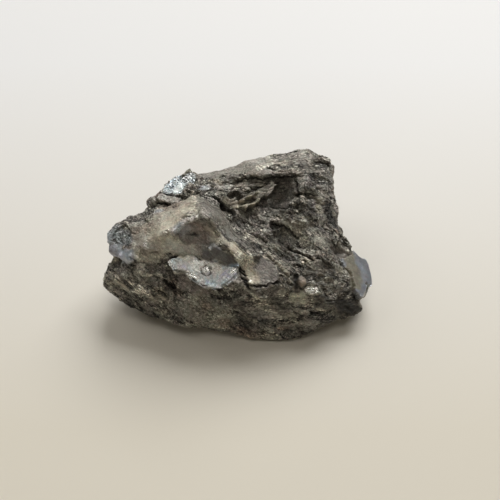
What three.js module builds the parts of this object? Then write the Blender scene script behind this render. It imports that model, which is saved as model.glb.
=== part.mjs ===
// Skutterudite specimen: one broken lump of massive, metallic, tin-grey ore, lying on its flattest side.
//
// Frame: millimetres, +X to the right along the longest side, +Y to the back, +Z up, and the
// origin on the resting plane under the middle of the lump.
//
// The lump is star-shaped about its heart, a point low inside it. Its natural features (the widest rim,
// the brow over the steep front, the crest, the valley, the ledges) are polylines on its skin. Seen from
// the heart, their points spread over a sphere, and the convex hull of that sphere joins them into faces.
// Each point of the skin is then moved along its own ray from the heart, so the skin can't cross itself.

import * as THREE from "three";
import { ConvexGeometry } from "three/addons/geometries/ConvexGeometry.js";
import { ImprovedNoise } from "three/addons/math/ImprovedNoise.js";
import { mergeVertices } from "three/addons/utils/BufferGeometryUtils.js";

// Driving dimensions. The features below span about 51 by 37 by 21.5 mm.
const heart = new THREE.Vector3(2, 1.5, 5);
const lineStep = 3.2; // spacing of the points along a feature
const sameRay = 0.02; // two rays closer than this count as one
const topFacet = 1.45; // longest facet edge on top and in front
const backFacet = 2.1; // on the back
const footFacet = 7; // on the flat foot
const backHeight = 14; // the back is coarse below this height
const mergeDistance = 0.002;

// The widest outline, counter-clockwise seen from above, from the left tip along the front
const rim = [
  [-25.5, -10, 7], [-23, -11.5, 5], [-20, -13.5, 4], [-15.5, -15.5, 3], [-10, -17, 3], [-5.5, -17, 2.5],
  [-1, -18, 2], [4.5, -18.5, 0.5], [8, -18.8, 0.5], [11, -18.5, 1], [14.5, -17.5, 2], [21, -14.9, 3],
  [23.3, -13.5, 3], [24.5, -11.5, 3.5], [25.8, -8, 5], [25.5, -6.5, 5.5], [25, -4.5, 6], [22, -1, 7],
  [21.7, 0.5, 7.5], [20.3, 3, 8], [19.5, 3.5, 8], [19.5, 6.5, 10], [19, 11.5, 13], [18, 15, 14.5],
  [14, 16.5, 16], [12.5, 16.5, 16], [9, 15.5, 16], [8, 14.5, 16], [1.5, 13, 16], [-2, 11, 16],
  [-6.5, 9.7, 16], [-7.5, 9.3, 16.3], [-9, 9.7, 17], [-11.3, 8.1, 17], [-12.3, 7.3, 17], [-13.4, 5.5, 17],
  [-14.4, 4.8, 17], [-15.3, 4.2, 16.2], [-17.4, 3.5, 15], [-17.2, 1.7, 14.5], [-18.7, 1.3, 14.5],
  [-19.7, 0, 14.3], [-21.4, -1, 14], [-23, -1.5, 14], [-24, -3.5, 14], [-24, -6.5, 12], [-23, -8, 11],
  [-24.3, -7.7, 9], [-25.5, -10, 7],
];

// Top of the steep front face, from the left end to the foot of the cleavage plate
const brow = [
  [-23, -8, 11], [-20.5, -9, 12], [-18, -9.5, 13], [-14.5, -10.5, 14], [-13, -11.5, 13.5], [-10, -12, 13.5],
  [-8.5, -13, 13], [-7, -14.5, 13], [-5.5, -15.5, 12.5], [-3.5, -15.5, 12.5], [-1.5, -15, 13],
  [0, -13.5, 13.5],
  [0.5, -12, 14],
];

const plateBack = [
  [-14.5, -10.5, 14], [-10.5, -10.5, 15], [-7.5, -10.5, 15.5], [-3, -11.5, 15.5], [0.5, -12, 15],
];

// The raised block on the left: its crest, the bowl in front of it and the crack behind it
const crest = [
  [-14.5, -7.5, 17.5], [-11.5, -7, 18.5], [-8.5, -6, 20.5], [-6, -5, 21.5], [-4.5, -6.5, 21], [-3, -8, 19.5],
  [-1, -10, 17.8], [0.5, -12, 15.5],
];
const bowl = [[-14, -9, 16.5], [-10.5, -9, 17], [-7.5, -9, 17.5], [-5, -9.5, 17.5], [-3.5, -10.5, 17]];
const crack = [
  [-14.5, 4, 16.5], [-12.5, 3, 17], [-9.5, 2, 18], [-7, 3, 18.5], [-4.5, 1.5, 18], [-2.5, 0, 17],
];
const blockTop = [
  [-16, -4, 16.5], [-13.5, -1.5, 18], [-10.5, -1.5, 19.3], [-8, -0.5, 19.5], [-5.5, -2, 20],
  [-3.5, -4.5, 19.5],
];
const shoulder = [[-21.5, -7, 13], [-21, -4, 14.5], [-18, -3, 15.5], [-16, -6.5, 16], [-18.5, -7.5, 14.5]];

// The middle of the top: a valley that runs down to the front, a step in it, and the slope beside it
const valley = [[-2.5, 0, 17], [-1, -1, 16], [1, -2.5, 15], [3, -5, 14.5], [4.5, -7.5, 14], [6.5, -9, 13.5]];
const stepPlate = [
  [2.5, -10, 14.5], [6, -9.5, 14], [9.5, -12.5, 12.5], [7, -14.5, 12], [2.5, -14.5, 12.5], [1, -12.5, 13.5],
];
const slope = [[8, -1.5, 14.5], [11.5, -3, 14], [13.5, -5, 13.5], [16.5, -5.5, 12.5], [19, -5, 10.5]];
const lowSlope = [[9, -6.5, 12.5], [12, -7.5, 12.5], [15.5, -8.5, 11.5], [18.5, -9, 10]];

// The back slab: its front ledge, the hollow under the ledge, the leaves beside it, the ridge on its right
const ledge = [[-5, 7, 16.5], [-1.5, 7, 17], [3.5, 7.5, 18], [8, 7.5, 18], [10.5, 8, 18], [12.5, 7, 17.5]];
const hollow = [[8.5, 6, 15], [9, 4.5, 14], [6.5, 3, 13.5], [9.5, 2.5, 13.5], [11, 3.5, 15]];
const leaves = [[-1.5, 4.5, 16.5], [1, 4, 16], [5, 4.5, 16], [3, 1, 14.5]];
const ridge = [[12.5, 7, 17.5], [13, 4.5, 17], [12.5, 2, 16.5], [13, 0, 15.5], [12, -2.5, 15]];
const flank = [[16, 11, 16], [16.5, 7, 14.5], [17, 3.5, 13], [16, -0.5, 13.5], [18.5, 1, 11]];

// The right end: the flake's inner edge, and the low dark face in front of it
const flakeEdge = [[20.5, -5, 9], [21.5, -7, 8], [22, -9, 7], [23, -11, 5.5]];
const lowFace = [[11.5, -13.5, 11], [14.5, -12, 10.5], [17.5, -12.5, 9.5], [20, -13, 6.5]];
const lowFaceFoot = [[11, -16.5, 7], [13.5, -16, 7.5], [17.5, -14.5, 6.5]];
const frontMiddle = [
  [-21.5, -10, 9.5], [-18, -12, 9], [-13, -13.5, 9], [-8.5, -15.5, 8.5], [-4, -16.5, 8], [0.5, -16.5, 8],
  [6, -16.5, 7.5],
];

// The hidden back, the blunt ends and the underside
const backShoulder = [
  [-23, -1.5, 11.5], [-17.5, 4.8, 12.5], [-12, 9.5, 14], [-8, 11.3, 14], [-2, 12.8, 13.5], [3, 15, 13.5],
  [9, 17.5, 13.5], [14, 18.2, 13.5], [19, 15.5, 12],
];
const backMiddle = [
  [-21.5, -2.5, 7.5], [-16, 4.5, 7.5], [-10, 9.5, 8.5], [-3.5, 12.5, 8.5], [4, 15, 8], [10, 17.8, 8],
  [16.5, 16.5, 7], [18, 9.5, 6],
];
const backLow = [[-18, -0.5, 3.5], [-11.5, 6.5, 3], [-2, 11, 3], [6, 14, 3], [13, 15, 3], [17, 7.5, 2.5]];
const leftEnd = [[-24.8, -8.5, 5], [-24, -6, 5.5], [-23.5, -3.5, 8]];
const leftKeel = [[-22, -10, 2.5], [-20.5, -6, 2]];
const rightEnd = [[24.8, -9.5, 2.5], [25, -7, 3.3], [24, -4, 4], [20.5, 1, 5]];
const rightKeel = [[21, -11, 0.8], [21, -5.5, 1.5], [18.5, 1.5, 2.5]];
const foot = [
  [-14, -12, 0], [-6, -15, 0], [3, -17.5, 0], [11, -17, 0], [17, -12.5, 0], [17.5, -5.5, 0], [15, 3.5, 0],
  [10, 11.5, 0], [1, 10, 0], [-9, 5.5, 0], [-15.5, -2.5, 0], [-17, -7.5, 0], [-14, -12, 0],
];
const footMiddle = [[-7, -4.5, 0], [1, -3.5, 0], [9, -3.5, 0]];

const features = [
  rim, brow, plateBack, crest, bowl, crack, blockTop, shoulder, valley, stepPlate, slope, lowSlope, ledge,
  hollow, leaves, ridge, flank, flakeEdge, lowFace, lowFaceFoot, frontMiddle, backShoulder, backMiddle,
  backLow, leftEnd, leftKeel, rightEnd, rightKeel, foot, footMiddle,
];

// Flat cleavage faces: middle, facing, long axis, and half its length and half its width
const cleavageFaces = [
  { at: [-9.5, -12.1, 14.1], facing: [0, -0.48, 0.88], along: [1, -0.1, 0], half: [3.6, 1.4] },
  { at: [-4, -13.4, 13.7], facing: [0, -0.48, 0.88], along: [1, -0.1, 0], half: [4.2, 2.4] },
  { at: [-3, -11.1, 16.6], facing: [0.35, -0.9, 0.5], along: [1, -0.3, -0.5], half: [3.2, 1.2] },
  { at: [-12, 5.3, 17.3], facing: [-0.35, -0.1, 0.93], along: [0.8, 0.6, 0], half: [2.2, 1.8] },
  { at: [-9.2, 8.3, 17.2], facing: [-0.2, 0.05, 0.98], along: [0.8, 0.6, 0], half: [1.9, 1.5] },
  { at: [-6, 5.5, 17.2], facing: [-0.1, -0.35, 0.93], along: [1, 0.2, 0], half: [1.6, 1.2] },
  { at: [23.5, -6.8, 6.6], facing: [0.58, -0.15, 0.8], along: [0.1, -1, 0], half: [3.6, 1.8] },
  { at: [4.8, -11.9, 13.3], facing: [-0.15, -0.3, 0.94], along: [1, 0, 0.2], half: [2.8, 2.2] },
  { at: [-22.4, -5.5, 13.1], facing: [-0.27, -0.53, 0.8], along: [0.4, -0.9, 0], half: [2.6, 1.9] },
];

// Terraces: a ledgy stretch of skin, the direction its steps face, their pitch and their rise
const terraces = [
  { at: [7, -4.5, 14], reach: 11, facing: [0.6, 0.7, 0.3], pitch: 3.4, rise: 0.9 },
  { at: [4, 10.5, 17], reach: 10, facing: [-0.15, 0.9, 0.4], pitch: 2.7, rise: 0.5 },
  { at: [16, 5.5, 14], reach: 9, facing: [0.9, 0.1, 0.3], pitch: 2.8, rise: 0.7 },
  { at: [15, -11.5, 9], reach: 9, facing: [0.2, -0.5, 0.85], pitch: 3, rise: 0.8 },
  { at: [-19, -12.5, 7], reach: 9, facing: [0.35, -0.2, 0.9], pitch: 2.6, rise: 0.8 },
  { at: [0, -16.5, 6], reach: 9, facing: [-0.3, -0.2, 0.9], pitch: 3.2, rise: 0.45 },
  { at: [-19, 0.5, 13], reach: 7, facing: [0.7, -0.6, 0.2], pitch: 2.5, rise: 0.7 },
  { at: [0, 12.5, 8], reach: 18, facing: [0.25, 0.2, 0.95], pitch: 4, rise: 0.9 },
];

// Lumps (lift above 0) and pits (lift below 0)
const bumps = [
  { at: [-8.5, -7.5, 18], reach: 4.5, lift: -1.1 },
  { at: [-11, -10, 16.5], reach: 3.5, lift: -0.5 },
  { at: [9, 5.5, 14], reach: 4.5, lift: -1 },
  { at: [4, 6.5, 16.8], reach: 2.2, lift: -1.3 },
  { at: [7.5, 6.8, 17.2], reach: 1.8, lift: -0.9 },
  { at: [-0.5, 4, 16], reach: 2.1, lift: -1.2 },
  { at: [-2, 0.5, 16.5], reach: 2, lift: -1 },
  { at: [6.5, 5, 16], reach: 1.8, lift: 0.8 },
  { at: [8.5, -4, 13.5], reach: 3, lift: -1 },
  { at: [11, -1.5, 14.5], reach: 2, lift: 0.6 },
  { at: [12, -13, 11.2], reach: 2.9, lift: -1.5 },
  { at: [12.2, -13, 11.2], reach: 1.5, lift: 2 },
  { at: [19.5, -4.5, 9.5], reach: 2.2, lift: -0.9 },
  { at: [24, -9.3, 4.8], reach: 1.2, lift: -0.5 },
  { at: [1.5, -13.5, 12.2], reach: 2, lift: -1.1 },
  { at: [7, -15.5, 10.5], reach: 2.6, lift: -0.8 },
  { at: [-18.6, 3.2, 14.7], reach: 2.2, lift: -2.3 },
  { at: [-16, 0, 15.5], reach: 1.6, lift: 0.7 },
  { at: [-17.3, -6, 15.2], reach: 2, lift: 0.5 },
  { at: [-13, 2.5, 17.2], reach: 1.5, lift: 0.6 },
  { at: [-20.5, -1.5, 14], reach: 2.2, lift: 0.6 },
  { at: [-23, -9.5, 9], reach: 2.4, lift: 0.5 },
  { at: [-16.5, -13, 7.5], reach: 2.8, lift: 0.7 },
  { at: [-12.5, -13.5, 10], reach: 2.2, lift: -0.8 },
  { at: [-4, -16.3, 8.5], reach: 4, lift: -0.5 },
  { at: [21, -0.5, 7.5], reach: 1.8, lift: 0.5 },
];

// Cracks and undercuts
const grooves = [
  { path: [[-10, 1, 18.5], [-8.5, 3, 18], [-5.5, 2.3, 18], [-3, 0.5, 17]], width: 1.2, depth: 1.2 },
  { path: [[-15, 3.5, 16.5], [-12.5, 3.5, 17], [-10, 4.5, 17]], width: 1.1, depth: 1.3 },
  { path: [[-16, 2, 16], [-13.5, 1.3, 17]], width: 1.1, depth: 1 },
  { path: [[-13.5, -12.3, 12.5], [-8.5, -14.5, 11.5], [-4.5, -16.5, 11]], width: 1.6, depth: 0.9 },
  { path: [[2.5, 6.5, 16.6], [5.5, 6.5, 17], [9, 6.5, 16.8]], width: 1.5, depth: 1.2 },
  { path: [[-24.5, -4, 10], [-24.3, -7.5, 10.8], [-20, -9.3, 11]], width: 1.5, depth: 1.5 },
  { path: [[21, -4.5, 8.5], [21.5, -7.5, 7.5], [21.8, -11, 6]], width: 1, depth: 0.7 },
  { path: [[9, 0.5, 13.5], [13, -1, 14.5], [17, -0.5, 12.5]], width: 1.2, depth: 0.9 },
];

// Relief
const swaySize = 7;
const sway = 1.3; // how far the straight edges between the features bend
const lumpSize = 5.5;
const lumpHeight = 0.9;
const grainSize = 2.3;
const grainHeight = 0.5;
const terraceWander = 0.6; // share of a pitch by which a terrace wanders
const footBand = 2.5; // relief dies out over this height above the foot
const rimBand = 3.5; // and is calmer within this distance of the rim
const rimRelief = 0.35;
const cleaveReach = 3; // a cleavage face cuts or fills this much at most
const cleaveRagged = 0.18;
const noise = new ImprovedNoise();

// Points along a polyline, with its corners kept and its long stretches divided evenly
function walk(line) {
  const corners = line.map((corner) => new THREE.Vector3(...corner));
  const points = [corners[0]];
  for (let i = 1; i < corners.length; i += 1) {
    const parts = Math.max(1, Math.round(corners[i].distanceTo(corners[i - 1]) / lineStep));
    for (let part = 1; part <= parts; part += 1) {
      points.push(corners[i - 1].clone().lerp(corners[i], part / parts));
    }
  }
  return points;
}

function joinFeatures() {
  const reach = new Map();
  const rays = [];
  for (const point of features.flatMap(walk)) {
    const distance = point.distanceTo(heart);
    const ray = point.sub(heart).normalize();
    if (rays.every((other) => other.distanceTo(ray) > sameRay)) {
      rays.push(ray);
      reach.set(ray, distance);
    }
  }
  const shell = new ConvexGeometry(rays);
  const place = shell.getAttribute("position");
  const corner = new THREE.Vector3();
  for (let i = 0; i < place.count; i += 1) {
    corner.fromBufferAttribute(place, i);
    const nearest = rays.reduce((a, b) => (a.distanceTo(corner) < b.distanceTo(corner) ? a : b));
    corner.copy(nearest).multiplyScalar(reach.get(nearest)).add(heart);
    place.setXYZ(i, corner.x, corner.y, corner.z);
  }
  return shell;
}

// The longest facet edge allowed at a point
function facetEdge(point) {
  if (point.z < mergeDistance) return footFacet;
  const hidden = point.y > heart.y && point.z < backHeight;
  return hidden ? backFacet : topFacet;
}

// Halves the longest edge of a face until every edge is short enough. Whether an edge is halved
// depends on that edge alone, so faces that share it still match.
function divideFace(corners, flat) {
  const middles = corners.map((corner, i) => corner.clone().add(corners[(i + 1) % 3]).multiplyScalar(0.5));
  const needs = middles.map((middle, i) => corners[i].distanceTo(corners[(i + 1) % 3]) / facetEdge(middle));
  const longest = needs.indexOf(Math.max(...needs));
  if (needs[longest] <= 1) {
    corners.forEach((corner) => flat.push(corner.x, corner.y, corner.z));
    return;
  }
  const [start, end, tip] = [0, 1, 2].map((turn) => corners[(longest + turn) % 3]);
  divideFace([start, middles[longest], tip], flat);
  divideFace([middles[longest], end, tip], flat);
}

function divide(geometry) {
  const place = geometry.getAttribute("position");
  const flat = [];
  for (let i = 0; i < place.count; i += 3) {
    const corners = [0, 1, 2].map((turn) => new THREE.Vector3().fromBufferAttribute(place, i + turn));
    divideFace(corners, flat);
  }
  const divided = new THREE.BufferGeometry();
  divided.setAttribute("position", new THREE.Float32BufferAttribute(flat, 3));
  return mergeVertices(divided, mergeDistance);
}

// 1 at no distance, 0 from the reach outwards, with a smooth foot
function fade(distance, reach) {
  const rest = Math.max(0, 1 - (distance / reach) ** 2);
  return rest * rest;
}

function noiseAt(point, size, shift) {
  return noise.noise(point.x / size, point.y / size + shift, point.z / size);
}

function distanceTo(line, point) {
  const nearest = new THREE.Vector3();
  let distance = Infinity;
  for (let i = 1; i < line.length; i += 1) {
    const stretch = new THREE.Line3(new THREE.Vector3(...line[i - 1]), new THREE.Vector3(...line[i]));
    stretch.closestPointToPoint(point, true, nearest);
    distance = Math.min(distance, nearest.distanceTo(point));
  }
  return distance;
}

// Bends the straight edges between the features
function swayed(point, amount) {
  const shift = new THREE.Vector3(...[0, 9, 18].map((apart) => noiseAt(point, swaySize, apart)));
  return point.clone().addScaledVector(shift, amount);
}

function roughness(point) {
  return lumpHeight * noiseAt(point, lumpSize, 0) + grainHeight * noiseAt(point, grainSize, 7);
}

function terraceRise(point) {
  return terraces.reduce((sum, terrace) => {
    const weight = fade(point.distanceTo(new THREE.Vector3(...terrace.at)), terrace.reach);
    const height = point.dot(new THREE.Vector3(...terrace.facing).normalize());
    const turn = height / terrace.pitch + terraceWander * noiseAt(point, lumpSize, 11);
    return sum + weight * terrace.rise * (2 * (turn - Math.floor(turn)) - 1);
  }, 0);
}

function bumpRise(point) {
  return bumps.reduce((sum, bump) => {
    const distance = point.distanceTo(new THREE.Vector3(...bump.at));
    return sum + bump.lift * fade(distance, bump.reach);
  }, 0);
}

function grooveDepth(point) {
  const depths = grooves.map((groove) => groove.depth * fade(distanceTo(groove.path, point), groove.width));
  return Math.max(...depths);
}

// How far along a ray the skin lies once the cleavage faces are cut
function cleaved(ray, point, distance) {
  return cleavageFaces.reduce((reached, face) => {
    const middle = new THREE.Vector3(...face.at);
    const facing = new THREE.Vector3(...face.facing).normalize();
    const along = new THREE.Vector3(...face.along).projectOnPlane(facing).normalize();
    const across = facing.clone().cross(along);
    const flat = facing.dot(middle.clone().sub(heart)) / facing.dot(ray);
    const offset = ray.clone().multiplyScalar(flat).add(heart).sub(middle);
    const ring = Math.hypot(offset.dot(along) / face.half[0], offset.dot(across) / face.half[1]);
    const inside = ring < 1 + cleaveRagged * noiseAt(point, grainSize, 0);
    return inside && Math.abs(flat - distance) < cleaveReach ? flat : reached;
  }, distance);
}

function shapeSkin(geometry) {
  const place = geometry.getAttribute("position");
  for (let i = 0; i < place.count; i += 1) {
    const start = new THREE.Vector3().fromBufferAttribute(place, i);
    const nearRim = Math.max(0, 1 - distanceTo(rim, start) / rimBand);
    const aboveFoot = Math.min(1, start.z / footBand);
    const point = swayed(start, sway * aboveFoot * (1 - nearRim));
    const ray = point.clone().sub(heart).normalize();
    const overall = (roughness(point) + terraceRise(point)) * (1 - (1 - rimRelief) * nearRim);
    const relief = aboveFoot * (overall + bumpRise(point) - grooveDepth(point));
    const distance = cleaved(ray, point, point.distanceTo(heart) + relief);
    const toFoot = ray.z < 0 ? heart.z / -ray.z : Infinity;
    const skinPoint = ray.multiplyScalar(Math.min(distance, toFoot)).add(heart);
    place.setXYZ(i, skinPoint.x, skinPoint.y, Math.abs(skinPoint.z) < mergeDistance ? 0 : skinPoint.z);
  }
}

function centreOnFoot(geometry) {
  geometry.computeBoundingBox();
  const middle = geometry.boundingBox.getCenter(new THREE.Vector3());
  geometry.translate(-middle.x, -middle.y, -geometry.boundingBox.min.z);
}

const skin = divide(joinFeatures());
shapeSkin(skin);
centreOnFoot(skin);
skin.computeVertexNormals();

const ore = new THREE.MeshStandardMaterial({ color: 0x6b675f, roughness: 0.5, metalness: 0.6 });
const specimen = new THREE.Mesh(skin, ore);
specimen.name = "skutterudite_specimen";

const group = new THREE.Group();
group.add(specimen);

export default group;
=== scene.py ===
import math

import bmesh
import bpy
import numpy as np
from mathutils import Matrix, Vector, kdtree, noise


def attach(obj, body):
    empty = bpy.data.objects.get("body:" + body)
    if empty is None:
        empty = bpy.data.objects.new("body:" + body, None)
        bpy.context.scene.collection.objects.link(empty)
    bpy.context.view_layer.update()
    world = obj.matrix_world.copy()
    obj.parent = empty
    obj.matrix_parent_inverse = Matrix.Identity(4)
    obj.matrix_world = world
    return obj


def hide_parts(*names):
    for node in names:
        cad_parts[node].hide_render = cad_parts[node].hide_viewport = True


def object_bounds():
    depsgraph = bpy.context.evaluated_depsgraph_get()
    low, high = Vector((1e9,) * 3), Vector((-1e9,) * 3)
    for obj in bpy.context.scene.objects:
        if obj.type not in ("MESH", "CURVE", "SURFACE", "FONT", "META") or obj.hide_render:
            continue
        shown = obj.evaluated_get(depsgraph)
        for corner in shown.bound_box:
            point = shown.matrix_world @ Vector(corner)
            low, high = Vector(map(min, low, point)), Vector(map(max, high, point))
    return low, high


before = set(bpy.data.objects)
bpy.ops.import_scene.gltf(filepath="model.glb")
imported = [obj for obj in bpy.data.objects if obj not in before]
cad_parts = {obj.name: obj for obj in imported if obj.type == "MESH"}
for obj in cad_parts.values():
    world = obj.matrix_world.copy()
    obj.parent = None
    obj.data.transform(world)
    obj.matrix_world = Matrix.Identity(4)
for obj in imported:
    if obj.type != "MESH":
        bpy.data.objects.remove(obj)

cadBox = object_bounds()
mm = 0.001
nodeName = "skutterudite_specimen"
scene = bpy.context.scene

# the specimen: places and lengths in millimetres in the frame, colours linear

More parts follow.
